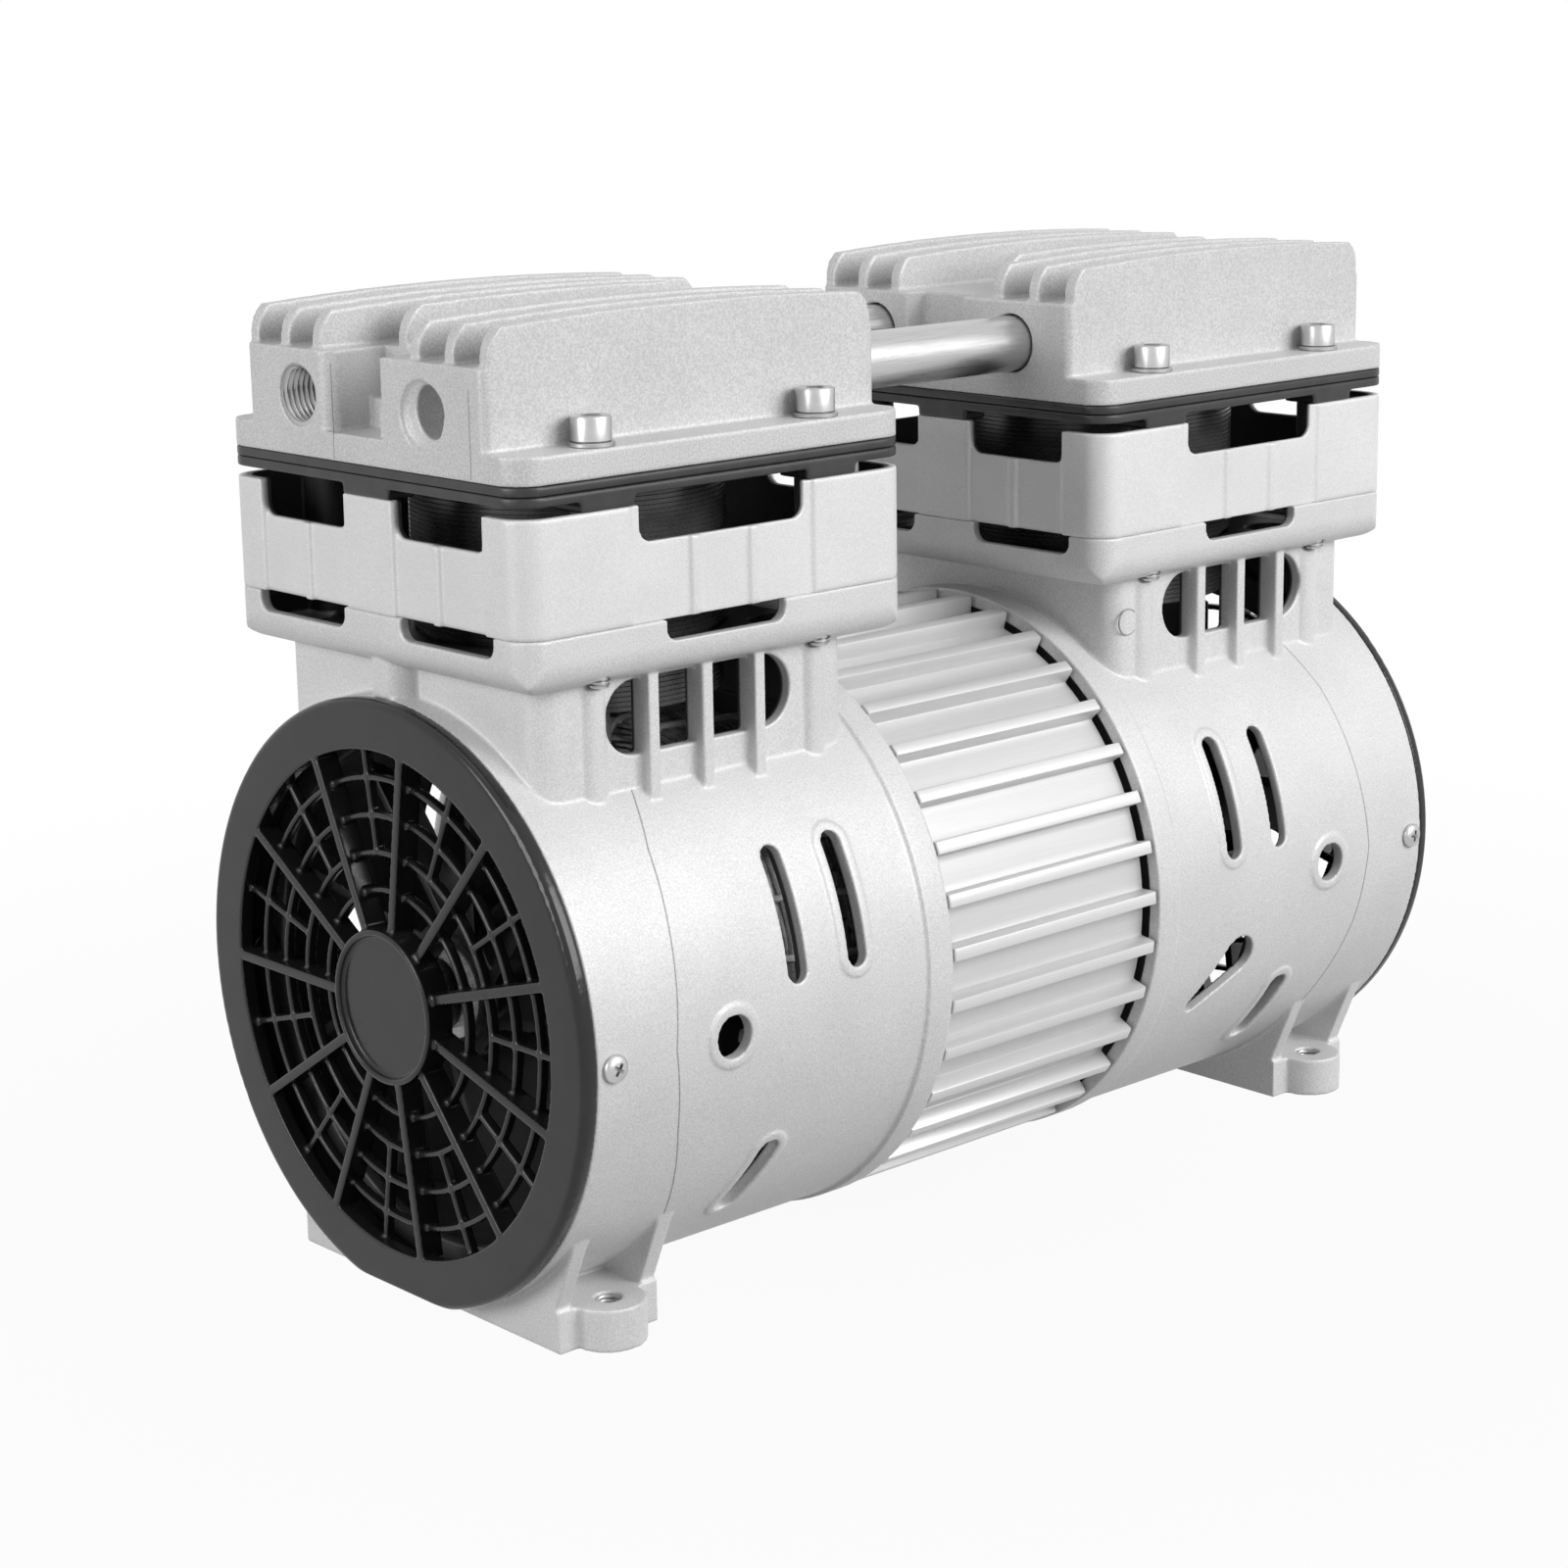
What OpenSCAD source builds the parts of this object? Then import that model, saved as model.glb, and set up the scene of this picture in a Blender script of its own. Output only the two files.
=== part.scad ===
// Oil-free rocking-piston air compressor with two cylinders on one motor.
// Millimetres. +X runs along the motor axis from the front grille to the rear
// one, +Z is up, and the origin is at the middle of the base, on the feet.
// Each housing with its cylinder is drawn outwards from the motor's middle
// plane. The rear one stays as drawn. The front one is mirrored, except the
// housing and the head, which are the rear castings turned round.

/* [Layout] */
// Gap between the shell and the ground
ground_gap = 1.3; // [0.6:0.1:6]
// Distance between the two cylinder axes
cyl_spacing = 175; // [172:1:190]
// Distance from the cylinder axis in to the sleeve
inner_reach = 52; // [51:0.5:56]

/* [Housing] */
// Outer radius of the round shell
shell_r = 69.4; // [69:0.1:72]
// Wall of the round shell
shell_wall = 2.8; // [2.6:0.2:4]
// Distance from the cylinder axis out to the open end of the shell
end_reach = 52.3; // [51:0.1:58]
// Width of the raised rim beside the sleeve
rim_w = 7.5; // [4:0.5:9]
// Height of the raised rim above the shell
rim_h = 0.9; // [0.6:0.1:1.5]
// Distance from the cylinder axis to the crank box's inner wall
box_in = 42.7; // [41:0.1:46]
// Distance from the cylinder axis to the crank box's outer wall
box_out = 46.8; // [44:0.1:49]
// Width of the crank box
box_w = 92.8; // [88:0.2:94]
// Wall of the crank box
box_wall = 3.5; // [2.5:0.5:4]
// Height from the top of the shell to the tray's underside
tray_gap = 7.1; // [6:0.1:13]
// Length of the tray and of the shroud on it
tray_l = 110.4; // [108:0.1:114]
// Width of the tray and of the shroud on it
tray_w = 107.6; // [106:0.1:112]
// Height of the tray
tray_h = 12.3; // [10:0.1:15]
// Floor of the tray
tray_floor = 3; // [2.5:0.5:4]

/* [Feet] */
// Distance from the shell's open end in to the foot holes
foot_inset = 18.3; // [16:0.1:22]
// Distance between the foot holes across the motor
foot_spacing_y = 96; // [92:1:100]
// Length of a foot along the motor
foot_l = 28.2; // [26:0.2:32]
// Height of the foot pad
pad_h = 9.7; // [8:0.1:12]
// Radius of the threaded foot hole
foot_hole_r = 2.6; // [2.1:0.1:3.4]

/* [Sleeve and motor] */
// How far the sleeve's ribs stand above the shell
rib_proud = 0.6; // [0:0.1:0.8]
// Height of a rib
rib_h = 4.4; // [3:0.1:5.5]
// Wall of the sleeve between its ribs
sleeve_wall = 5.1; // [4:0.1:6]
// Number of ribs on the sleeve
rib_count = 35; // [24:1:44]
// Width of a rib
rib_w = 3.2; // [2:0.1:4]
// How far the stator core reaches past the sleeve at each end
core_past = 10.5; // [8:0.5:12]
// Radius of the rotor as a share of the stator core's
rotor_share = 0.5464; // [0.48:0.0001:0.57]
// Radius of the shaft in its bearings
shaft_r = 8.5; // [7.5:0.1:9]

/* [Crank and cylinder] */
// Bore radius of a cylinder
bore_r = 31.85; // [31:0.05:32]
// Wall of a cylinder at its cooling rings
liner_wall = 3.95; // [3.4:0.05:4.2]
// Distance from the shaft axis to the crank pin axis
throw = 6; // [4:0.5:6]
// Gap between the piston at its highest and the valve plate
head_space = 1.3; // [1:0.1:3]
// Width of the rod and of its bearing
rod_w = 14; // [12:0.5:14]

/* [Shroud, plates and head] */
// Height of the shroud
shroud_h = 25.2; // [22:0.2:30]
// Wall of the shroud
shroud_wall = 2.2; // [1.8:0.1:2.3]
// Height of the baffle's pads
baffle_pad_h = 2.3; // [1.5:0.1:4]
// Thickness of the baffle
baffle_t = 2.3; // [1.8:0.1:4]
// Thickness of the valve plate
valve_t = 2.2; // [1.8:0.1:4]
// How far the head reaches past the shroud at each end
head_over = 0.2; // [0:0.1:1]
// How far the flange is set in from the shroud at each side
flange_inset = 0.3; // [0:0.1:0.6]
// Thickness of the head's flange
flange_t = 6.1; // [5:0.1:8]
// Width of the flange's ledge beside the head
ledge_w = 10.3; // [10:0.1:11]
// Height from the flange to the root of the fins
block_h = 17.4; // [17:0.1:22]
// Height of the fins at their ends
fin_h = 7.9; // [6:0.1:12]
// Extra height of the fins at the middle of the head
crown_h = 1.9; // [0.5:0.1:3]
// Thickness of a fin
fin_t = 3.3; // [2.5:0.1:4.5]
// Radius of the mouths of the ports
port_mouth_r = 7; // [6.8:0.1:7.4]
// Distance of the ports from the middle of the head
port_y = 23.6; // [22:0.1:25]
// Outer radius of the tubes between the heads
tube_r = 6.7; // [6:0.1:6.7]
// Wall of the tubes
tube_wall = 1; // [0.8:0.1:1.5]

/* [Head bolts] */
// Distance between the bolts along the motor
bolt_spacing_x = 63.6; // [62:0.1:65]
// Distance of the bolts from the flange's sides
bolt_inset = 5.2; // [5.1:0.05:5.3]
// Radius of a bolt
bolt_r = 2.5; // [2:0.1:2.6]
// Radius of a bolt's head
bolt_head_r = 4.35; // [3.8:0.05:4.4]

/* [Grilles and fans] */
// Width of a grille's ring
ring_w = 11.5; // [10:0.1:13]
// Thickness of a grille's ring
grille_t = 3.5; // [3:0.1:5]
// Radius of the grille's hub disc
hub_disc_r = 17.7; // [15:0.1:22]
// Number of long spokes
spoke_count = 11; // [7:2:15]
// Width of a long spoke
spoke_w = 2.3; // [1.8:0.1:3]
// How much smaller a fan is than the opening in front of it
fan_gap_r = 0.9; // [0.5:0.1:6]
// Number of fan blades
blade_count = 9; // [5:1:13]

/* [Hidden] */
$fn = 96;

// Overrun of a cut, and the gap of parts that only lie in each other
cut = 0.5;
slip = 0.1;
running = 0.05;

// Places along the motor, outwards from its middle plane
cyl_x = cyl_spacing / 2;
inner_x = cyl_x - inner_reach;
sleeve_l = 2 * inner_x;
end_x = cyl_x + end_reach;
foot_x = end_x - foot_inset;
box_x0 = cyl_x - box_in;
box_x1 = cyl_x + box_out;

// Heights above the motor axis
axis_h = shell_r + ground_gap;
tray_rise = shell_r + tray_gap;
seam_z = tray_rise + tray_h;
shroud_z = seam_z + shroud_h;
baffle_z = shroud_z + baffle_pad_h;
valve_z = baffle_z + baffle_t;
flange_z = valve_z + valve_t;
block_z = flange_z + flange_t;
fin_z = block_z + block_h;
rod_reach = valve_z - throw - head_space;

// Shell, rim and the rings inside it
rim_r = shell_r + rim_h;
shell_in_r = shell_r - shell_wall;
rib_tip_r = shell_r + rib_proud;
sleeve_r = rib_tip_r - rib_h;
core_gap = 0.1;
core_r = sleeve_r - sleeve_wall - core_gap;
lead_in_gap = 1.2;
lead_in_r = sleeve_r + lead_in_gap;
lead_in_l = 2.5;
register_l = 3;
register_t = 2.4;
core_end_x = inner_x + core_past;
core_l = 2 * core_end_x;

// Wall between motor and crank, with the seat of the shaft bearing
bulkhead_t = 3.2;
bulkhead_gap = 1.2;
rod_x0 = cyl_x - rod_w / 2;
bulkhead_x1 = rod_x0 - bulkhead_gap;
bulkhead_x0 = bulkhead_x1 - bulkhead_t;
bearing_r = 20;
bearing_w = 12;
bearing_lip = 2.3;
bearing_lip_r = 17;
bearing_hub_t = 4;
seat_x1 = bulkhead_x1 - bearing_lip;
bearing_x0 = seat_x1 - bearing_w;
bulkhead_drop = 8.4;
bulkhead_top_z = shell_in_r - bulkhead_drop;
bulkhead_eye_r = 27;
bulkhead_ring_w = 1.6;
bulkhead_arm_w = 15;

// Crank box, its windows and ribs
box_corner_r = 6;
box_sink = 11.6;
box_root_z = sqrt(pow(shell_r, 2) - pow(box_w / 2, 2)) - box_sink;
box_window_drop = 9.3;
box_window_z = tray_rise - box_window_drop;
box_window_r = 8.3;
box_window_l = (box_x1 - box_x0) * 0.5955;
box_rib_pitch = (box_x1 - box_x0) * 0.17095;
box_rib_w = 3;
box_rib_proud = 2.9;
box_rib_y = box_w / 2 + box_rib_proud;
box_rib_depth = 7;
box_rib_sink = 1.85;
box_rib_z = sqrt(pow(shell_r, 2) - pow(box_rib_y, 2)) - box_rib_sink;
tip_boss_r = 4.2;
tip_boss_proud = 1.5;
tip_boss_y = box_w / 2 + tip_boss_proud - tip_boss_r;
tip_boss_drop = 1.3;
tip_boss_top_z = tray_rise - tip_boss_drop;
end_column_r = 6.2;
end_column_y = 1.5;

// Tray: rounded lower edges, windows and holes in its floor
corner_r = 7;
tray_edge_r = 7;
tray_wall = 3;
liner_r = bore_r + liner_wall;
liner_step = 1.4;
liner_low_r = liner_r - liner_step;
liner_drop = 11.8;
liner_foot_z = tray_rise - liner_drop;
tray_seat_gap = 0.5;
tray_seat_r = liner_low_r + tray_seat_gap;
tray_hole_r = 6.2;
tray_hole_place = 32.8;
tray_window_y0 = 10.3;
tray_window_inset_y = 11.1;
tray_window_inset_x = 38.15;
tray_window_w = tray_w / 2 - tray_window_inset_y - tray_window_y0;
tray_window_y = tray_window_y0 + tray_window_w / 2;
tray_window_h = 4.8;
tray_side_window_w = tray_l - 2 * tray_window_inset_x;
window_corner_r = 3;
pillar_r = 5;

// Feet: two webs and a pad, seen along the motor
web_t = 4.2;
web_start_y = 9;
web_foot_inset = 0.7;
web_foot_y = foot_spacing_y / 2 - web_foot_inset;
web_knee_h = 10.7;
web_top_y = shell_r * 0.7954;
web_top_z = shell_r * 0.5965;
web_deep_y = shell_r * 0.4323;
web_deep_z = shell_r * 0.7205;
pad_round_r = 8.6;
pad_root_y = 22;
foot_mouth_r = 3.1;
foot_mouth_h = 0.6;

// Side openings of the shell, from the cylinder axis; angles rise from the horizontal
slot_w = 5.5;
slot_l = 31;
slot_a = 18.6;
plain_slot_x = -5.3;
rimmed_slot_x = -22.9;
rim_step = 0.5;
rim_width = 2.2;
side_hole_x = 14.3;
side_hole_a = -0.7;
side_hole_r = 4.9;
low_slot_w = 6;
low_slot_l = 22.6;
low_slot_a = -34.7;
low_slot_x = [2, 0.5];
low_slot_lean = [-10.4, 16.4];
lead_hole_x = -19.7;
lead_hole_a = -18.6;
lead_hole_r = 5.6;
lead_end_r = 2.4;
lead_hole_shift = [1.7, 2.4];
lead_end_shift = [-10.4, -9];
side_cut_depth = 13.4;
side_cut_over = 6.6;
side_cut_in_r = shell_r - side_cut_depth;
side_cut_out_r = shell_r + side_cut_over;

// Grille
grille_edge_r = 1.7;
grille_open_r = shell_r - ring_w;
grille_chord_gap = 2.4;
grille_chord_z = shell_r - grille_chord_gap;
skirt_l = 8.6;
skirt_wall = 2.4;
skirt_gap = 0.3;
spoke_depth = 6;
hub_proud = 1.75;
hub_depth = 7;
hub_rim_w = 1.5;
hub_recess = 1.5;
net_recess = 2.2;
net_depth = 2.4;
arc_w = 1.4;
arc_gap = 8.2;
arc_first_r = hub_disc_r + arc_gap;
arc_pitch = (grille_open_r - arc_first_r) * 0.2641;
arc_count = 4;
short_spoke_w = 1.5;
grille_screw_inset = 4.5;
grille_screw_x = end_x - grille_screw_inset;
grille_screw_r = 1.45;
grille_screw_l = 9;
grille_screw_head_r = 3.1;
grille_screw_head_h = 1.8;
grille_boss_r = 3.4;
grille_boss_l = 7;
screw_gap = 0.2;

// Shroud
shroud_window_h = 8;
shroud_window_y0 = 9.2;
shroud_window_inset_y = 13.8;
shroud_window_inset_x = 32;
shroud_end_window_w = tray_w / 2 - shroud_window_inset_y - shroud_window_y0;
shroud_end_window_y = shroud_window_y0 + shroud_end_window_w / 2;
shroud_side_window_w = tray_l - 2 * shroud_window_inset_x;
panel_step = 0.8;
panel_rib_w = 2.4;
panel_rib_y = 23.6;
panel_rib_x = 8.4;
middle_pilaster_w = 17.4;
panel_past_y = 0.1;
panel_past_x = 2.8;
end_panel_w = tray_w - 2 * (shroud_window_inset_y - panel_past_y);
side_panel_w = shroud_side_window_w + 2 * panel_past_x;

// Head and flange sizes that follow the shroud's
head_l = tray_l + 2 * head_over;
flange_w = tray_w - 2 * flange_inset;
head_w = flange_w - 2 * ledge_w;
bolt_spacing_y = flange_w - 2 * bolt_inset;

// Baffle and valve plate
bolt_pad_l = 14.5;
bolt_pad_w = 9.5;
end_pad_l = 7;
end_pad_w = 16.4;
valve_hole_r = 3;
valve_hole_y = 11;
chamber_inset = 20.4;
chamber_l = head_l - 2 * chamber_inset;
valve_hole_x = chamber_l / 11.67;
reed_t = 0.4;
reed_w = 12;
reed_l = chamber_l / 1.9444;
reed_corner_r = 3;
reed_x = chamber_l / 10;
reed_screw_x = chamber_l * 0.3;
stop_t = 1.4;
reed_screw_r = 1.5;
intake_screw_head_h = 0.7;
reed_screw_head_r = 2.6;
reed_screw_head_h = 1.4;
seal_t = 1.5;
seal_w = 2;
seal_inset = 6.4;
seal_l = head_l - 2 * seal_inset;
seal_side = 1.2;
seal_across = head_w - 2 * seal_side;

// Head
head_corner_r = 2.5;
fin_end_r = 8;
fin_shares = [-3.5, -2.5, -1.5, -0.5, 1.5, 2.5, 3.5];
fin_pitch = (head_w - fin_t) / (2 * max(fin_shares));
short_fin_share = -0.5;
short_fin_inset = 15.9;
short_fin_l = head_l - 2 * short_fin_inset;
fin_inset = 1.6;
chamber_h = 16;
chamber_wall = 5;
chamber_rib = 5;
chamber_r = 4;
pocket_y0 = -12;
pocket_y1 = 7.3;
pocket_depth = 15.9;
pocket_step_inset = 4.9;
pocket_step_h = 6.5;
pocket_mouth_r = 4;
inner_pocket_depth = 6;
port_rise = 13.2;
port_z = flange_z + port_rise;
port_r = 5.9;
port_mouth_l = 1.1;
port_l = 24;
blind_port_r = 5.7;
blind_port_l = 11;
tube_seat_l = 10;
tube_seat_r = 7.1;
passage_r = 5.2;
passage_l = 14;
o_ring_x = 4;
o_ring_w = 1.6;
o_ring_r = 7.9;

// Head bolts and washers
washer_t = 1;
washer_r = 5;
bolt_head_h = 5.4;
socket_r = 2.3;
socket_depth = 2.6;
bolt_through = 0.8;
bolt_tip_z = tray_rise - bolt_through;

// Motor inside
rotor_r = core_r * rotor_share;
air_gap = 0.5;
stator_bore_r = rotor_r + air_gap;
winding_in_gap = 5;
winding_in_r = rotor_r + winding_in_gap;
winding_out_gap = 6.8;
winding_out_r = core_r - winding_out_gap;
winding_l = 27;
winding_edge_r = (winding_out_r - winding_in_r) / 3.12;
tie_inset = 3.4;
tie_place_r = core_r - tie_inset;
tie_r = 2.1;
tie_head_r = 3.6;
tie_head_h = 3;
end_ring_l = 6;
end_ring_step = 2;
end_ring_out_r = rotor_r - end_ring_step;
end_ring_w = 11;
end_ring_in_r = end_ring_out_r - end_ring_w;
shoulder_r = 10.8;
inner_race_r = 11.6;
outer_race_r = 17.2;
shield_inset = 0.8;
preload_t = 1.2;
preload_in_r = 16;
preload_out_r = 19.6;

// Crank, rod and piston; the front crank pin is up and the rear one down
journal_r = 17.45;
rod_bearing_r = 31;
rod_bearing_race = 3;
rod_eye_wall = 4.3;
rod_beam_w = 16;
rod_beam_t = 9;
rod_head_t = 6;
counter_gap = 0.5;
counter_t = 7.4;
counter_r = 33;
counter_hub_r = 18;
counter_half_w = 30;
collar_r = 11.5;
cup_gap = 0.45;
cup_t = 1;
cup_lip = 2.8;
cup_seat_r = 2.4;
clamp_t = 2.6;
clamp_gap = 0.3;
clamp_screw_r = 2.5;
clamp_screw_l = 9;
clamp_head_r = 5;
clamp_head_h = 1.2;
set_screw_r = 2;
set_screw_l = 6;
piston_r = bore_r - throw - cup_gap;

// Fan
fan_hub_r = 16;
fan_hub_wall = 3.2;
fan_gap = 2.6;
fan_x0 = rod_x0 + rod_w + counter_gap + counter_t + fan_gap;
fan_l = 20;
fan_r = grille_open_r - fan_gap_r;
shaft_over = 4;
shaft_end_x = fan_x0 + fan_l + shaft_over;
blade_t = 2;
blade_chord = 25;
blade_pitch_a = -38;
blade_root = 1;
fan_ring_gap = 1;
fan_ring_t = 3.2;
fan_ring_end_gap = 0.2;
fan_ring_x1 = end_x - skirt_l - fan_ring_end_gap;
clip_r = 11;
clip_t = 1.2;
clip_groove = 0.8;

// Colours
cast = "#c9cacb";
satin = "#b9bcbf";
black = "#2b2b2c";
steel = "#d6d7d8";

module on_axis() translate([0, 0, axis_h]) children();
module front() on_axis() mirror([1, 0, 0]) children();
module rear() on_axis() children();
module turned() on_axis() rotate(180) children();
module both() { front() children(); rear() children(); }

// A round bar, and a tube, along the motor between two places
module bar(r, x0, x1) translate([x0, 0, 0]) rotate([0, 90, 0]) cylinder(h = x1 - x0, r = r);
module tube(r_out, r_in, x0, x1) difference() {
    bar(r_out, x0, x1);
    bar(r_in, x0 - cut, x1 + cut);
}

// A flat shape drawn across the motor (Y, Z), or seen from its side (X, Z), made solid
module along_x(x0, x1) translate([x0, 0, 0]) rotate([90, 0, 90]) linear_extrude(x1 - x0) children();
module along_y(y0, y1) translate([0, y1, 0]) rotate([90, 0, 0]) linear_extrude(y1 - y0) children();

// A rectangle about the origin with round corners
module rounded_rect(l, w, r) {
    square([l - 2 * r, w], center = true);
    square([l, w - 2 * r], center = true);
    for (sx = [-1, 1], sy = [-1, 1]) translate([sx * (l / 2 - r), sy * (w / 2 - r)]) circle(r = r);
}

// A notch that is open at the top and has round lower corners
module notch(w, h, r) {
    translate([-w / 2, r]) square([w, h - r + cut]);
    translate([-w / 2 + r, 0]) square([w - 2 * r, h]);
    for (s = [-1, 1]) translate([s * (w / 2 - r), r]) circle(r = r);
}

// A plate on a cylinder's axis, from one height to another
module plate(l, w, r, z0, z1) translate([cyl_x, 0, z0]) linear_extrude(z1 - z0) rounded_rect(l, w, r);

// Places of the four head bolts
module at_bolts() for (sx = [-1, 1], sy = [-1, 1])
    translate([cyl_x + sx * bolt_spacing_x / 2, sy * bolt_spacing_y / 2, 0]) children();

// A flat shape in X and arc length, cut square to the shell at a place along from the cylinder axis
// and at an angle from the horizontal
module side_cut(x, a) translate([cyl_x + x, 0, 0]) rotate([-a, 0, 0]) translate([0, -side_cut_in_r, 0])
    rotate([90, 0, 0]) linear_extrude(side_cut_out_r - side_cut_in_r) children();

// A slot with round ends, standing up
module obround(w, l) {
    square([w, l - w], center = true);
    for (k = [-1, 1]) translate([0, k * (l - w) / 2]) circle(r = w / 2);
}

// A slot between two points whose round ends differ in size. Its straight sides start a little
// inside the rounds, so they cross them instead of just touching.
module tapered_slot(p, r, q, s) {
    run = norm(q - p);
    lean = atan2(q[1] - p[1], q[0] - p[0]);
    side_a = acos((r - s) / run);
    in_r = r - slip;
    in_s = s - slip;
    translate(p) circle(r = r);
    translate(q) circle(r = s);
    translate(p) rotate(lean) polygon([[in_r * cos(side_a), -in_r * sin(side_a)],
        [run + in_s * cos(side_a), -in_s * sin(side_a)], [run + in_s * cos(side_a), in_s * sin(side_a)],
        [in_r * cos(side_a), in_r * sin(side_a)]]);
}

// Openings on one side of the shell, and the raised rims round three of them
module side_openings(side, rim) {
    side_cut(rimmed_slot_x, slot_a) obround(slot_w + 2 * rim, slot_l + 2 * rim);
    side_cut(side_hole_x, side_hole_a) circle(r = side_hole_r + rim);
    side_cut(low_slot_x[side], low_slot_a) rotate(low_slot_lean[side])
        obround(low_slot_w + 2 * rim, low_slot_l + 2 * rim);
}

module plain_openings() {
    side_cut(plain_slot_x, slot_a) obround(slot_w, slot_l);
    side_cut(grille_screw_x - cyl_x, 0) circle(r = grille_screw_r + screw_gap);
}

module side_rims(side) intersection() {
    bar(shell_r + rim_step, inner_x, end_x);
    side_openings(side, rim_width);
}

// The motor's lead comes out of one side through a wider hole
module lead_hole() {
    side_cut(lead_hole_x, lead_hole_a) tapered_slot(lead_hole_shift, lead_hole_r, lead_end_shift, lead_end_r);
}

// Crank box with ribbed windows, a half-round column and the bosses under the bolt tips
module crank_box() {
    translate([(box_x0 + box_x1) / 2, 0, box_root_z]) linear_extrude(tray_rise + tray_floor - box_root_z)
        rounded_rect(box_x1 - box_x0, box_w, box_corner_r);
    for (s = [-1, 1], k = [-1, 0, 1]) translate([(box_x0 + box_x1) / 2 + k * box_rib_pitch - box_rib_w / 2,
        s > 0 ? box_rib_y - box_rib_depth : -box_rib_y, box_rib_z])
        cube([box_rib_w, box_rib_depth, tray_rise + tray_floor - box_rib_z]);
    for (sx = [-1, 1], sy = [-1, 1]) translate([cyl_x + sx * bolt_spacing_x / 2, sy * tip_boss_y, box_rib_z])
        cylinder(h = tip_boss_top_z - box_rib_z, r = tip_boss_r);
    translate([box_x1, -end_column_y, box_rib_z])
        cylinder(h = tray_rise + tray_floor - box_rib_z, r = end_x - box_x1);
    translate([box_x1, -end_column_y, shell_r + slip])
        cylinder(h = tray_gap + tray_floor - slip, r = end_column_r);
}

module crank_box_hollow(root_z) translate([(box_x0 + box_x1) / 2, 0, root_z])
    linear_extrude(tray_rise - root_z) rounded_rect(box_x1 - box_x0 - 2 * box_wall,
        box_w - 2 * box_wall, box_corner_r - box_wall);

// The window is cut between the ribs, so the ribs stay whole across it
module box_windows() for (s = [-1, 1]) difference() {
    along_y(s > 0 ? box_w / 2 - box_wall - cut : -box_w / 2 - cut,
        s > 0 ? box_w / 2 + cut : -box_w / 2 + box_wall + cut)
        translate([(box_x0 + box_x1) / 2, box_window_z])
            rounded_rect(box_window_l, 2 * box_window_r, box_window_r - slip);
    for (k = [-1, 0, 1]) translate([(box_x0 + box_x1) / 2 + k * box_rib_pitch - box_rib_w / 2,
        -box_w, box_root_z]) cube([box_rib_w, 2 * box_w, tray_rise]);
}

module tray() difference() {
    intersection() {
        plate(tray_l, tray_w, corner_r, tray_rise, seam_z);
        along_x(cyl_x - tray_l / 2, cyl_x + tray_l / 2) translate([0, tray_rise + tray_h])
            rounded_rect(tray_w, 2 * tray_h, tray_edge_r);
        along_y(-tray_w / 2, tray_w / 2) translate([cyl_x, tray_rise + tray_h])
            rounded_rect(tray_l, 2 * tray_h, tray_edge_r);
    }
    difference() {
        plate(tray_l - 2 * tray_wall, tray_w - 2 * tray_wall, corner_r - tray_wall,
            tray_rise + tray_floor, seam_z + cut);
        at_bolts() cylinder(h = seam_z, r = pillar_r);
    }
}

// Windows in the tray's upper edge: two in each end, one in each side
module tray_windows() {
    z = seam_z - tray_window_h;
    for (s = [-1, 1]) along_x(cyl_x - tray_l, cyl_x + tray_l) translate([s * tray_window_y, z])
        notch(tray_window_w, tray_window_h, window_corner_r);
    along_y(-tray_w, tray_w) translate([cyl_x, z])
        notch(tray_side_window_w, tray_window_h, window_corner_r);
}

module tray_floor_holes() {
    translate([cyl_x, 0, tray_rise - cut]) cylinder(h = tray_floor + 2 * cut, r = tray_seat_r);
    for (sx = [-1, 1], sy = [-1, 1]) translate([cyl_x + sx * tray_hole_place, sy * tray_hole_place,
        tray_rise - cut]) cylinder(h = tray_floor + 2 * cut, r = tray_hole_r);
    at_bolts() translate([0, 0, bolt_tip_z - cut])
        cylinder(h = seam_z - bolt_tip_z + 2 * cut, r = bolt_r + running);
}

// One web, seen along the motor
module web() polygon([[web_start_y, -shell_r], [web_start_y, -axis_h], [web_foot_y, -axis_h],
    [web_foot_y, -axis_h + web_knee_h], [web_top_y, -web_top_z], [web_deep_y, -web_deep_z]]);

module feet() for (s = [0, 1]) mirror([0, s, 0]) {
    along_x(foot_x - foot_l / 2, foot_x - foot_l / 2 + web_t) web();
    along_x(foot_x + foot_l / 2 - web_t, foot_x + foot_l / 2) web();
    translate([foot_x, foot_spacing_y / 2, -axis_h]) cylinder(h = pad_h, r = pad_round_r);
    translate([foot_x - foot_l / 2, pad_root_y, -axis_h])
        cube([foot_l, foot_spacing_y / 2 - pad_root_y, pad_h]);
}

module foot_holes() for (s = [-1, 1]) translate([foot_x, s * foot_spacing_y / 2, -axis_h]) {
    translate([0, 0, -cut]) cylinder(h = pad_h + 2 * cut, r = foot_hole_r);
    translate([0, 0, pad_h - foot_mouth_h])
        cylinder(h = foot_mouth_h + cut, r1 = foot_hole_r, r2 = foot_mouth_r + cut);
}

// Openings of the wall between motor and crank, with an arm left at each through bolt
module bulkhead_openings() difference() {
    tube(shell_in_r - bulkhead_ring_w, bulkhead_eye_r, bulkhead_x0 - cut, bulkhead_x1 + cut);
    for (k = [0 : 3]) rotate([45 + k * 90, 0, 0])
        translate([bulkhead_x0 - 2 * cut, -bulkhead_arm_w / 2, 0])
            cube([bulkhead_t + 4 * cut, bulkhead_arm_w, shell_r]);
}

// A ring stands close round the fan, so that its air goes out through the grille
module fan_ring() tube(shell_in_r + slip, fan_r + fan_ring_gap, fan_ring_x1 - fan_ring_t, fan_ring_x1);

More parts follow.
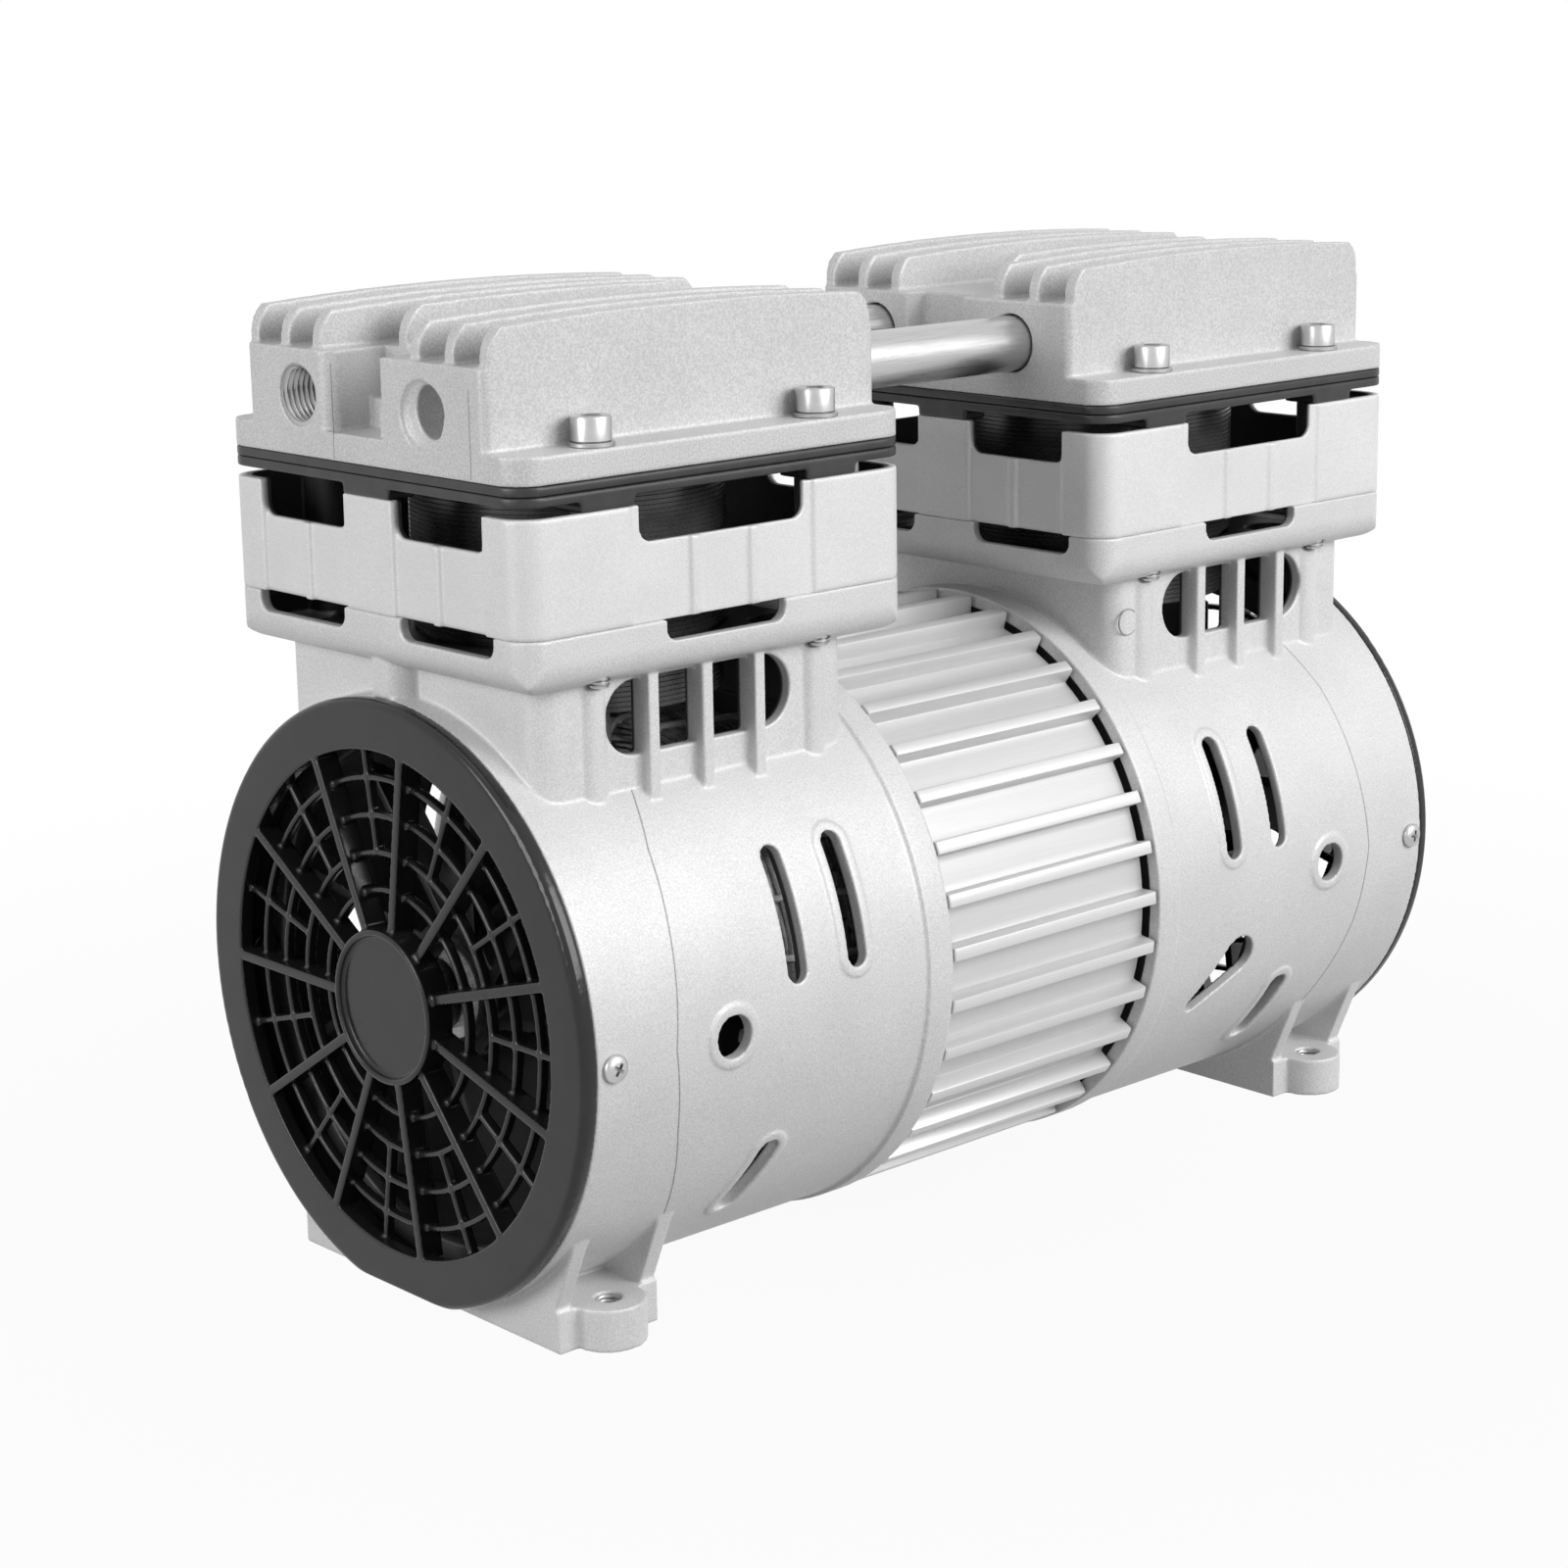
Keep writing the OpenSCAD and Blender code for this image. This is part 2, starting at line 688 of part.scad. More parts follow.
// Rings that hold the stator core, and the wall with the bearing seat
module housing_inside() difference() {
    union() {
        tube(shell_in_r + slip, core_r + core_gap, inner_x + lead_in_l, core_end_x);
        tube(shell_in_r + slip, core_r - register_t, core_end_x, core_end_x + register_l);
        bar(shell_in_r + slip, bulkhead_x0, bulkhead_x1);
        bar(bearing_r + bearing_hub_t, bearing_x0, bulkhead_x1);
    }
    crank_box_hollow(bulkhead_top_z);
    bar(bearing_lip_r, inner_x, bulkhead_x1 + cut);
    bar(bearing_r + slip, inner_x, seat_x1);
    bulkhead_openings();
    at_ties() cylinder(h = end_x, r = tie_r + slip);
}

module housing() {
    difference() {
        union() {
            bar(shell_r, inner_x, end_x);
            bar(rim_r, inner_x, inner_x + rim_w);
            for (side = [0, 1]) mirror([0, side, 0]) side_rims(side);
            crank_box();
            tray();
            feet();
        }
        bar(shell_in_r, inner_x - cut, end_x + cut);
        bar(lead_in_r, inner_x - cut, inner_x + lead_in_l);
        crank_box_hollow(box_root_z);
        box_windows();
        tray_windows();
        tray_floor_holes();
        foot_holes();
        for (side = [0, 1]) mirror([0, side, 0]) {
            side_openings(side, 0);
            plain_openings();
        }
        lead_hole();
    }
    housing_inside();
    fan_ring();
}

module front_housing() color(cast) turned() housing();
module rear_housing() color(cast) rear() housing();

module motor_sleeve() color(satin) on_axis() {
    tube(sleeve_r, core_r + core_gap, -inner_x + cut * 3, inner_x - cut * 3);
    intersection() {
        tube(rib_tip_r, sleeve_r - rib_w, -inner_x, inner_x);
        for (k = [0 : rib_count - 1]) rotate([k * 360 / rib_count, 0, 0])
            translate([-inner_x, -rib_w / 2, -rib_tip_r - cut]) cube([sleeve_l, rib_w, rib_tip_r / 2]);
    }
}

// Places of the four through bolts of the motor, with +Z of each along the motor
module at_ties() for (k = [0 : 3]) rotate([45 + k * 90, 0, 0]) translate([0, 0, tie_place_r])
    rotate([0, 90, 0]) children();

module stator_core() color("#6f7073") on_axis() difference() {
    tube(core_r, stator_bore_r, -core_end_x, core_end_x);
    at_ties() translate([0, 0, -core_l]) cylinder(h = 2 * core_l, r = tie_r + slip);
}

// A winding head is a fat ring of wire with rounded outer edges
module winding() {
    tube(winding_out_r, winding_in_r, core_end_x, core_end_x + winding_l - winding_edge_r);
    translate([core_end_x + winding_l - winding_edge_r, 0, 0]) rotate([0, 90, 0]) rotate_extrude() {
        translate([winding_in_r + winding_edge_r, 0])
            square([winding_out_r - winding_in_r - 2 * winding_edge_r, winding_edge_r]);
        for (r = [winding_in_r + winding_edge_r, winding_out_r - winding_edge_r])
            translate([r, 0]) circle(r = winding_edge_r);
    }
}
module front_winding() color("#8a4a2a") front() winding();
module rear_winding() color("#8a4a2a") rear() winding();

module tie_bolts() color(steel) on_axis() at_ties() {
    translate([0, 0, -bulkhead_x1 - tie_head_h]) cylinder(h = 2 * (bulkhead_x1 + tie_head_h), r = tie_r);
    translate([0, 0, bulkhead_x1]) cylinder(h = tie_head_h, r = tie_head_r);
}
module tie_nuts() color(steel) on_axis() at_ties() translate([0, 0, -bulkhead_x1 - tie_head_h])
    difference() {
        cylinder(h = tie_head_h, r = tie_head_r, $fn = 6);
        translate([0, 0, -cut]) cylinder(h = tie_head_h + 2 * cut, r = tie_r + running);
    }

// A sealed ball bearing: two races with the shields set back between them
module ball_bearing(r_out, r_in, x0, x1, race_out, race_in) difference() {
    tube(r_out, r_in, x0, x1);
    for (x = [x0 - cut, x1 - shield_inset]) tube(race_out, race_in, x, x + shield_inset + cut);
}
module shaft_bearing() ball_bearing(bearing_r, shaft_r + running, bearing_x0, bearing_x0 + bearing_w,
    outer_race_r, inner_race_r);
module front_shaft_bearing() color(steel) front() shaft_bearing();
module rear_shaft_bearing() color(steel) rear() translate([-preload_t, 0, 0]) shaft_bearing();
module preload_washer() color(steel) rear()
    tube(preload_out_r, preload_in_r, seat_x1 - preload_t, seat_x1);

// Grille: ring with a rounded edge and a flat at the bottom, hub disc, deep spokes and a finer net
module grille_ring() difference() {
    union() {
        translate([end_x, 0, 0]) rotate([0, 90, 0]) rotate_extrude() {
            square([shell_r, grille_t - grille_edge_r]);
            square([shell_r - grille_edge_r, grille_t]);
            translate([shell_r - grille_edge_r, grille_t - grille_edge_r]) circle(r = grille_edge_r);
        }
        bar(shell_in_r - skirt_gap, end_x - skirt_l, end_x + slip);
    }
    bar(grille_open_r, end_x - slip, end_x + grille_t + cut);
    bar(shell_in_r - skirt_gap - skirt_wall, end_x - skirt_l - cut, end_x);
    translate([end_x - cut, -shell_r, -shell_r - grille_chord_z])
        cube([grille_t + 2 * cut, 2 * shell_r, shell_r]);
}

module spoke(w, r0, r1, x0, x1) translate([x0, -w / 2, r0]) cube([x1 - x0, w, r1 - r0]);

module grille() {
    face_x = end_x + grille_t;
    net_x = face_x - net_recess;
    difference() {
        union() {
            grille_ring();
            for (s = [-1, 1]) translate([grille_screw_x, s * (shell_in_r - skirt_gap - slip), 0])
                rotate([s * 90, 0, 0]) cylinder(h = grille_boss_l, r = grille_boss_r);
        }
        for (s = [-1, 1]) translate([grille_screw_x, s * shell_r, 0]) rotate([s * 90, 0, 0])
            cylinder(h = grille_screw_l + shell_wall, r = grille_screw_r + running);
    }
    for (k = [0 : spoke_count - 1]) rotate([-90 + k * 360 / spoke_count, 0, 0]) {
        spoke(spoke_w, hub_disc_r - cut, grille_open_r + cut, face_x - spoke_depth, face_x);
        rotate([180 / spoke_count, 0, 0]) spoke(short_spoke_w, arc_first_r + arc_pitch,
            grille_open_r + cut, net_x - net_depth, net_x);
    }
    for (k = [0 : arc_count - 1]) tube(arc_first_r + k * arc_pitch + arc_w / 2,
        arc_first_r + k * arc_pitch - arc_w / 2, net_x - net_depth, net_x);
    difference() {
        bar(hub_disc_r, face_x + hub_proud - hub_depth, face_x + hub_proud);
        bar(hub_disc_r - hub_rim_w, face_x + hub_proud - hub_recess, face_x + hub_proud + cut);
    }
}
module front_grille() color(black) front() grille();
module rear_grille() color(black) rear() grille();

module grille_screws() color(steel) both() for (s = [-1, 1]) translate([grille_screw_x, s * shell_r, 0])
    rotate([s * -90, 0, 0]) {
        cylinder(h = grille_screw_head_h, r = grille_screw_head_r);
        translate([0, 0, -grille_screw_l]) cylinder(h = grille_screw_l, r = grille_screw_r);
    }

// Cylinder: its wider upper part stands on the tray's floor
module liner() translate([cyl_x, 0, 0]) difference() {
    union() {
        translate([0, 0, tray_rise + tray_floor])
            cylinder(h = valve_z - tray_rise - tray_floor, r = liner_r);
        translate([0, 0, liner_foot_z]) cylinder(h = valve_z - liner_foot_z, r = liner_low_r);
    }
    translate([0, 0, liner_foot_z - cut]) cylinder(h = valve_z, r = bore_r);
}
module front_cylinder() color(black) front() liner();
module rear_cylinder() color(black) rear() liner();

// Shroud: a frame round the cylinder with windows in its upper edge and shallow panels
module end_panels() for (s = [-1, 1]) along_x(cyl_x + s * tray_l / 2 - panel_step,
    cyl_x + s * tray_l / 2 + panel_step) difference() {
        translate([-end_panel_w / 2, seam_z - cut]) square([end_panel_w, shroud_h + 2 * cut]);
        translate([-middle_pilaster_w / 2, seam_z]) square([middle_pilaster_w, shroud_h]);
        for (sy = [-1, 1]) translate([sy * panel_rib_y - panel_rib_w / 2, seam_z])
            square([panel_rib_w, shroud_h]);
    }

module side_panels() for (s = [-1, 1]) along_y(s * tray_w / 2 - panel_step, s * tray_w / 2 + panel_step)
    difference() {
        translate([cyl_x - side_panel_w / 2, seam_z - cut]) square([side_panel_w, shroud_h + 2 * cut]);
        for (sx = [-1, 1]) translate([cyl_x + sx * panel_rib_x - panel_rib_w / 2, seam_z])
            square([panel_rib_w, shroud_h]);
    }

module shroud() difference() {
    plate(tray_l, tray_w, corner_r, seam_z, shroud_z);
    difference() {
        plate(tray_l - 2 * (shroud_wall + panel_step), tray_w - 2 * shroud_wall, corner_r - shroud_wall,
            seam_z - cut, shroud_z + cut);
        at_bolts() cylinder(h = shroud_z + 2 * cut, r = pillar_r);
    }
    at_bolts() cylinder(h = shroud_z + 2 * cut, r = bolt_r + slip);
    for (s = [-1, 1]) along_x(cyl_x - tray_l, cyl_x + tray_l)
        translate([s * shroud_end_window_y, shroud_z - shroud_window_h])
            notch(shroud_end_window_w, shroud_window_h, window_corner_r);
    along_y(-tray_w, tray_w) translate([cyl_x, shroud_z - shroud_window_h])
        notch(shroud_side_window_w, shroud_window_h, window_corner_r);
    end_panels();
    side_panels();
}
module front_shroud() color(cast) front() shroud();
module rear_shroud() color(cast) rear() shroud();

// Baffle: a plate with pads that stand on the shroud at the bolts and at both ends
module baffle() difference() {
    union() {
        plate(head_l, flange_w, corner_r, baffle_z, valve_z);
        intersection() {
            plate(head_l, flange_w, corner_r, shroud_z, valve_z);
            union() {
                for (sx = [-1, 1], sy = [-1, 1]) translate([cyl_x + sx * bolt_spacing_x / 2 - bolt_pad_l / 2,
                    sy > 0 ? flange_w / 2 - bolt_pad_w : -flange_w / 2, shroud_z])
                    cube([bolt_pad_l, bolt_pad_w, baffle_pad_h + baffle_t / 2]);
                for (s = [-1, 1]) translate([s > 0 ? cyl_x + head_l / 2 - end_pad_l : cyl_x - head_l / 2,
                    -end_pad_w / 2, shroud_z]) cube([end_pad_l, end_pad_w, baffle_pad_h + baffle_t / 2]);
            }
        }
    }
    translate([cyl_x, 0, shroud_z - cut]) cylinder(h = shroud_h, r = liner_r + slip);
    at_bolts() cylinder(h = flange_z, r = bolt_r + slip);
}
module front_baffle() color(black) front() baffle();
module rear_baffle() color(black) rear() baffle();

// Valve plate: intake holes towards -Y, discharge holes towards +Y
module valve_plate() difference() {
    plate(head_l, flange_w, corner_r, valve_z, flange_z);
    for (sx = [-1, 1], sy = [-1, 1]) translate([cyl_x + sx * valve_hole_x, sy * valve_hole_y, valve_z - cut])
        cylinder(h = valve_t + 2 * cut, r = valve_hole_r);
    for (sy = [-1, 1]) translate([cyl_x + reed_screw_x, sy * valve_hole_y, valve_z - cut])
        cylinder(h = valve_t + 2 * cut, r = reed_screw_r + running);
    at_bolts() cylinder(h = flange_z + cut, r = bolt_r + slip);
}
module front_valve_plate() color(black) front() valve_plate();
module rear_valve_plate() color(black) rear() valve_plate();

// A reed is a thin strip from its screw to past the valve holes
module reed(y, z, t) translate([cyl_x, y, z]) difference() {
    translate([reed_x, 0, 0]) linear_extrude(t) rounded_rect(reed_l, reed_w, reed_corner_r);
    translate([reed_screw_x, 0, -cut]) cylinder(h = t + 2 * cut, r = reed_screw_r + running);
}
module reed_screw(y, z, l, head_h) translate([cyl_x + reed_screw_x, y, z]) {
    cylinder(h = l, r = reed_screw_r);
    translate([0, 0, l]) cylinder(h = head_h, r = reed_screw_head_r);
}
module intake_reeds() color(steel) both() reed(-valve_hole_y, valve_z - reed_t, reed_t);
module discharge_reeds() color(steel) both() reed(valve_hole_y, flange_z, reed_t);
module reed_stops() color(steel) both() reed(valve_hole_y, flange_z + reed_t, stop_t);
module reed_screws() color(steel) both() {
    reed_screw(valve_hole_y, valve_z, valve_t + reed_t + stop_t, reed_screw_head_h);
    translate([0, 0, flange_z]) mirror([0, 0, 1])
        reed_screw(-valve_hole_y, 0, valve_t + reed_t, intake_screw_head_h);
}

module head_seals() color(black) both() translate([cyl_x, 0, flange_z]) linear_extrude(seal_t) difference() {
    rounded_rect(seal_l, seal_across, corner_r);
    rounded_rect(seal_l - 2 * seal_w, seal_across - 2 * seal_w, corner_r - seal_w);
}

// Side view of a fin or of the head's solid block: crowned top and round upper ends
module fin_side(l, z0) {
    crown_r = (pow(head_l / 2, 2) + pow(crown_h, 2)) / (2 * crown_h);
    top_z = fin_z + fin_h + crown_h;
    intersection() {
        translate([cyl_x - l / 2, z0]) square([l, top_z - z0]);
        translate([cyl_x, top_z - crown_r]) circle(r = crown_r, $fn = 720);
        translate([cyl_x, fin_z]) rounded_rect(l, 2 * (fin_h + crown_h), fin_end_r);
    }
}

module head_fins() intersection() {
    plate(head_l, head_w, head_corner_r, block_z, fin_z + fin_h + crown_h);
    for (share = fin_shares) {
        y = share * fin_pitch;
        outer = abs(share) == max(fin_shares);
        y0 = outer ? sign(share) * head_w / 2 - (share > 0 ? fin_t : 0) : y - fin_t / 2;
        l = share == short_fin_share ? short_fin_l : head_l - 2 * fin_inset;
        along_y(y0, y0 + fin_t) fin_side(l, fin_z - fin_t);
    }
}

// Pockets between the port blocks, open at the top: a deep one with a step at the outer end, whose
// mouth is rounded beside the open port, and a shallow one at the inner end
module head_pockets() {
    out_x = cyl_x + head_l / 2;
    in_x = cyl_x - head_l / 2;
    h = fin_z - block_z + cut;
    translate([out_x - pocket_depth, pocket_y0, block_z + pocket_step_h])
        cube([pocket_depth + cut, pocket_y1 - pocket_y0, h - pocket_step_h]);
    translate([out_x - pocket_depth + pocket_step_inset, pocket_y0, block_z])
        cube([pocket_depth - pocket_step_inset + cut, pocket_y1 - pocket_y0, h]);
    translate([out_x - pocket_mouth_r, pocket_y0 - pocket_mouth_r, block_z]) linear_extrude(h) difference() {
        square(pocket_mouth_r + cut);
        circle(r = pocket_mouth_r);
    }
    translate([in_x - cut, -pocket_y1, block_z])
        cube([inner_pocket_depth + cut, pocket_y1 - pocket_y0, h]);
}

// Intake chamber towards -Y and discharge chamber towards +Y, open at the bottom
module head_chambers() for (s = [-1, 1]) translate([cyl_x - chamber_rib / 2,
    s * (head_w / 4 - chamber_wall / 4), flange_z - cut]) linear_extrude(chamber_h + cut)
        rounded_rect(chamber_l, head_w / 2 - chamber_wall - chamber_rib / 2, chamber_r);

module head_ports() {
    out_x = cyl_x + head_l / 2;
    in_x = cyl_x - head_l / 2;
    translate([0, -port_y, port_z]) {
        bar(port_r, out_x - port_l, out_x + cut);
        translate([out_x - port_mouth_l, 0, 0]) rotate([0, 90, 0])
            cylinder(h = port_mouth_l + cut, r1 = port_r, r2 = port_mouth_r + cut);
    }
    translate([0, port_y, port_z]) bar(blind_port_r, out_x - blind_port_l, out_x + cut);
    for (s = [-1, 1]) translate([0, s * port_y, port_z]) {
        bar(tube_seat_r, in_x - cut, in_x + tube_seat_l);
        bar(passage_r, in_x, in_x + tube_seat_l + passage_l);
        bar(o_ring_r, in_x + o_ring_x, in_x + o_ring_x + o_ring_w);
    }
}

module head() difference() {
    union() {
        plate(head_l, flange_w, corner_r, flange_z, block_z);
        plate(head_l, head_w, head_corner_r, flange_z, fin_z);
        head_fins();
    }
    head_pockets();
    head_chambers();
    head_ports();
    at_bolts() cylinder(h = block_z + cut, r = bolt_r + slip);
    translate([cyl_x, 0, flange_z - cut]) linear_extrude(seal_t + cut) difference() {
        rounded_rect(seal_l + slip, seal_across + slip, corner_r);
        rounded_rect(seal_l - 2 * seal_w - slip, seal_across - 2 * seal_w - slip, corner_r - seal_w);
    }
}
module front_head() color(cast) turned() head();
module rear_head() color(cast) rear() head();

module head_bolts() color(steel) both() at_bolts() difference() {
    union() {
        translate([0, 0, bolt_tip_z]) cylinder(h = block_z + washer_t - bolt_tip_z, r = bolt_r);
        translate([0, 0, block_z + washer_t]) cylinder(h = bolt_head_h, r = bolt_head_r);
    }
    translate([0, 0, block_z + washer_t + bolt_head_h - socket_depth])
        cylinder(h = socket_depth + cut, r = socket_r, $fn = 6);
}
module head_washers() color(steel) both() at_bolts() translate([0, 0, block_z]) difference() {
    cylinder(h = washer_t, r = washer_r);
    translate([0, 0, -cut]) cylinder(h = washer_t + 2 * cut, r = bolt_r + slip);
}

// The tubes end in the heads' inner seats
module cross_tube(s) {
    end = cyl_x - head_l / 2 + tube_seat_l - slip;
    on_axis() translate([0, s * port_y, port_z]) tube(tube_r, tube_r - tube_wall, -end, end);
}
module intake_tube() color(steel) cross_tube(-1);
module discharge_tube() color(steel) cross_tube(1);
module tube_o_rings() color(black) both() for (s = [-1, 1]) translate([0, s * port_y, port_z])
    tube(o_ring_r - running, tube_r + running, cyl_x - head_l / 2 + o_ring_x + running,
        cyl_x - head_l / 2 + o_ring_x + o_ring_w - running);

// Shaft with a shoulder at each bearing and a groove for each fan's clip
module shaft() color(steel) on_axis() difference() {
    union() {
        bar(shaft_r, -shaft_end_x, shaft_end_x);
        bar(shoulder_r, -bearing_x0, bearing_x0 - preload_t);
    }
    for (s = [0, 1]) mirror([s, 0, 0]) tube(shaft_r + cut, shaft_r - clip_groove,
        fan_x0 + fan_l, fan_x0 + fan_l + clip_t);
}

module rotor_core() color("#85878a") on_axis() {
    tube(rotor_r, shoulder_r + running, -core_end_x, core_end_x);
    for (s = [0, 1]) mirror([s, 0, 0])
        tube(end_ring_out_r, end_ring_in_r, core_end_x, core_end_x + end_ring_l);
}

module fan() {
    tube(fan_hub_r, fan_hub_r - fan_hub_wall, fan_x0, fan_x0 + fan_l);
    tube(fan_hub_r, shaft_r + running, fan_x0 + fan_l / 2, fan_x0 + fan_l / 2 + fan_hub_wall);
    tube(shaft_r + running + fan_hub_wall, shaft_r + running, fan_x0, fan_x0 + fan_l);
    intersection() {
        tube(fan_r, fan_hub_r - blade_root, fan_x0, fan_x0 + fan_l);
        for (k = [0 : blade_count - 1]) rotate([k * 360 / blade_count, 0, 0])
            translate([fan_x0 + fan_l / 2, 0, 0]) rotate([0, 0, blade_pitch_a])
                translate([-blade_chord, -blade_t / 2, 0]) cube([2 * blade_chord, blade_t, fan_r + cut]);
    }
}
module front_fan() color(black) front() fan();
module rear_fan() color(black) rear() fan();
module fan_clips() color(steel) both() tube(clip_r, shaft_r - clip_groove + running,
    fan_x0 + fan_l + running, fan_x0 + fan_l + clip_t - running);

// Eccentric: journal for the rod's bearing, and a counterweight on the other side of the shaft
module eccentric(up) {
    x2 = rod_x0 + rod_w;
    x3 = x2 + counter_gap;
    x4 = x3 + counter_t;
    mirror([0, 0, up ? 0 : 1]) difference() {
        union() {
            translate([0, 0, throw]) bar(journal_r, rod_x0, x3);
            bar(counter_hub_r, x3, x4);
            intersection() {
                bar(counter_r, x3, x4);
                translate([x3, -counter_half_w, -counter_r]) cube([counter_t, 2 * counter_half_w, counter_r]);
            }
        }
        bar(shaft_r + running, rod_x0 - cut, x4 + cut);
        translate([(x3 + x4) / 2, 0, 0]) cylinder(h = counter_r, r = set_screw_r + running);
    }
}
module front_eccentric() color("#7c7d80") front() eccentric(true);
module rear_eccentric() color("#7c7d80") rear() eccentric(false);

// A set screw goes down through each counterweight's hub onto the shaft
module eccentric_screw() translate([rod_x0 + rod_w + counter_gap + counter_t / 2, 0,
    shaft_r + slip]) cylinder(h = set_screw_l, r = set_screw_r);
module eccentric_screws() color(steel) {
    front() eccentric_screw();
    rear() mirror([0, 0, 1]) eccentric_screw();
}

// Rod with its big eye, beam and piston plate, drawn about the crank pin's axis
module rod() {
    eye_r = rod_bearing_r + rod_eye_wall;
    plate_z = rod_reach - clamp_head_h - clamp_t - cup_t;
    difference() {
        union() {
            bar(eye_r, rod_x0, rod_x0 + rod_w);
            translate([cyl_x - rod_beam_t / 2, -rod_beam_w / 2, rod_bearing_r])
                cube([rod_beam_t, rod_beam_w, plate_z - rod_head_t / 2 - rod_bearing_r]);
            translate([cyl_x, 0, plate_z - rod_head_t]) cylinder(h = rod_head_t, r = piston_r - cup_t);
        }
        bar(rod_bearing_r + running, rod_x0 - cut, rod_x0 + rod_w + cut);
        translate([cyl_x, 0, rod_reach - clamp_head_h - clamp_screw_l])
            cylinder(h = clamp_screw_l, r = clamp_screw_r + running);
    }
}
module rod_bearing() ball_bearing(rod_bearing_r, journal_r + running, rod_x0, rod_x0 + rod_w,
    rod_bearing_r - rod_bearing_race, journal_r + rod_bearing_race);
module piston_cup() translate([cyl_x, 0, rod_reach - clamp_head_h - clamp_t - cup_t]) difference() {
    cylinder(h = cup_t + cup_lip, r = piston_r);
    translate([0, 0, cup_t]) cylinder(h = cup_lip + cut, r = piston_r - cup_t);
    translate([0, 0, -cut]) cylinder(h = cup_t + 2 * cut, r = clamp_screw_r + running);
}
module cup_clamp() translate([cyl_x, 0, rod_reach - clamp_head_h - clamp_t]) difference() {
    cylinder(h = clamp_t, r = piston_r - cup_t - clamp_gap);
    translate([0, 0, -cut]) cylinder(h = clamp_t + 2 * cut, r = clamp_screw_r + running);
}
module clamp_screw() translate([cyl_x, 0, rod_reach - clamp_head_h]) {
    cylinder(h = clamp_head_h, r = clamp_head_r);
    translate([0, 0, -clamp_screw_l]) cylinder(h = clamp_screw_l, r = clamp_screw_r);
}

module front_pin() front() translate([0, 0, throw]) children();
module rear_pin() rear() translate([0, 0, -throw]) children();
module front_rod() color("#a9abad") front_pin() rod();
module front_rod_bearing() color(steel) front_pin() rod_bearing();
module front_piston_cup() color("#3a3b3a") front_pin() piston_cup();
module front_cup_clamp() color(satin) front_pin() cup_clamp();
module front_clamp_screw() color(steel) front_pin() clamp_screw();
module rear_rod() color("#a9abad") rear_pin() rod();
module rear_rod_bearing() color(steel) rear_pin() rod_bearing();
module rear_piston_cup() color("#3a3b3a") rear_pin() piston_cup();
module rear_cup_clamp() color(satin) rear_pin() cup_clamp();
module rear_clamp_screw() color(steel) rear_pin() clamp_screw();

front_housing();
rear_housing();
motor_sleeve();
stator_core();
front_winding();
rear_winding();
tie_bolts();
tie_nuts();
front_shaft_bearing();
rear_shaft_bearing();
preload_washer();
front_grille();
rear_grille();
grille_screws();
front_cylinder();
rear_cylinder();
front_shroud();
rear_shroud();
front_baffle();
rear_baffle();
front_valve_plate();
rear_valve_plate();
head_seals();
front_head();
rear_head();
head_bolts();
head_washers();
intake_reeds();
discharge_reeds();
reed_stops();
reed_screws();
intake_tube();
discharge_tube();
tube_o_rings();
shaft();
rotor_core();
front_fan();
rear_fan();
fan_clips();
front_eccentric();
rear_eccentric();
eccentric_screws();
front_rod();
front_rod_bearing();
front_piston_cup();
front_cup_clamp();
front_clamp_screw();
rear_rod();
rear_rod_bearing();
rear_piston_cup();
rear_cup_clamp();
rear_clamp_screw();
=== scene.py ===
# Oil-free rocking-piston air compressor with two cylinders, one motor and a fan at each end.
# The sections follow the machine as it is put together, after the camera, the floor and the lights.

import math

import bmesh
import bpy
from mathutils import Matrix, Vector


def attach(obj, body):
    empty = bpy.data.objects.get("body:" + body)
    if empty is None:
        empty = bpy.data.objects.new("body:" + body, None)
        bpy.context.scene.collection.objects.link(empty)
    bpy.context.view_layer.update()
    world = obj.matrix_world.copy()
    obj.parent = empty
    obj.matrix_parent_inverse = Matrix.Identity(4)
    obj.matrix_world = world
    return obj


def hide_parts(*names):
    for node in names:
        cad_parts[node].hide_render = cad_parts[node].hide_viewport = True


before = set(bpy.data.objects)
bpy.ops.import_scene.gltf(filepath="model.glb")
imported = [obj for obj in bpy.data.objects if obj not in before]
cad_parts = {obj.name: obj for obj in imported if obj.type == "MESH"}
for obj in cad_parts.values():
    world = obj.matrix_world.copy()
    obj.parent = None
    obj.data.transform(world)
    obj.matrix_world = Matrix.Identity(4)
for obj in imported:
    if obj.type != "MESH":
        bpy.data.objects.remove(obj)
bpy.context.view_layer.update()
scene = bpy.context.scene
scene.view_settings.view_transform = "Standard"

# Camera
# A long lens looks down a little on the front end and along the side of the machine. It stands
# at the place that was worked out from the picture.
CAMERA_PLACE = Vector((-0.551776, -0.581062, 0.289537))
CAMERA_YAW = math.radians(42.3697)
CAMERA_PITCH = math.radians(-13.231)
CAMERA_ROLL = math.radians(-0.9444)

view_direction = Vector((
    math.sin(CAMERA_YAW) * math.cos(CAMERA_PITCH),
    math.cos(CAMERA_YAW) * math.cos(CAMERA_PITCH),
    math.sin(CAMERA_PITCH),
))
level_right = view_direction.cross(Vector((0, 0, 1))).normalized()
level_up = level_right.cross(view_direction)
camera_right = level_right * math.cos(CAMERA_ROLL) + level_up * math.sin(CAMERA_ROLL)
camera_up = level_up * math.cos(CAMERA_ROLL) - level_right * math.sin(CAMERA_ROLL)
camera_data = bpy.data.cameras.new("camera")
camera_data.sensor_width = 36
camera_data.lens = 76.122
camera_data.shift_x = -0.00213
camera_data.shift_y = -0.01096
camera_data.clip_start = 0.01
camera = bpy.data.objects.new("camera", camera_data)
scene.collection.objects.link(camera)
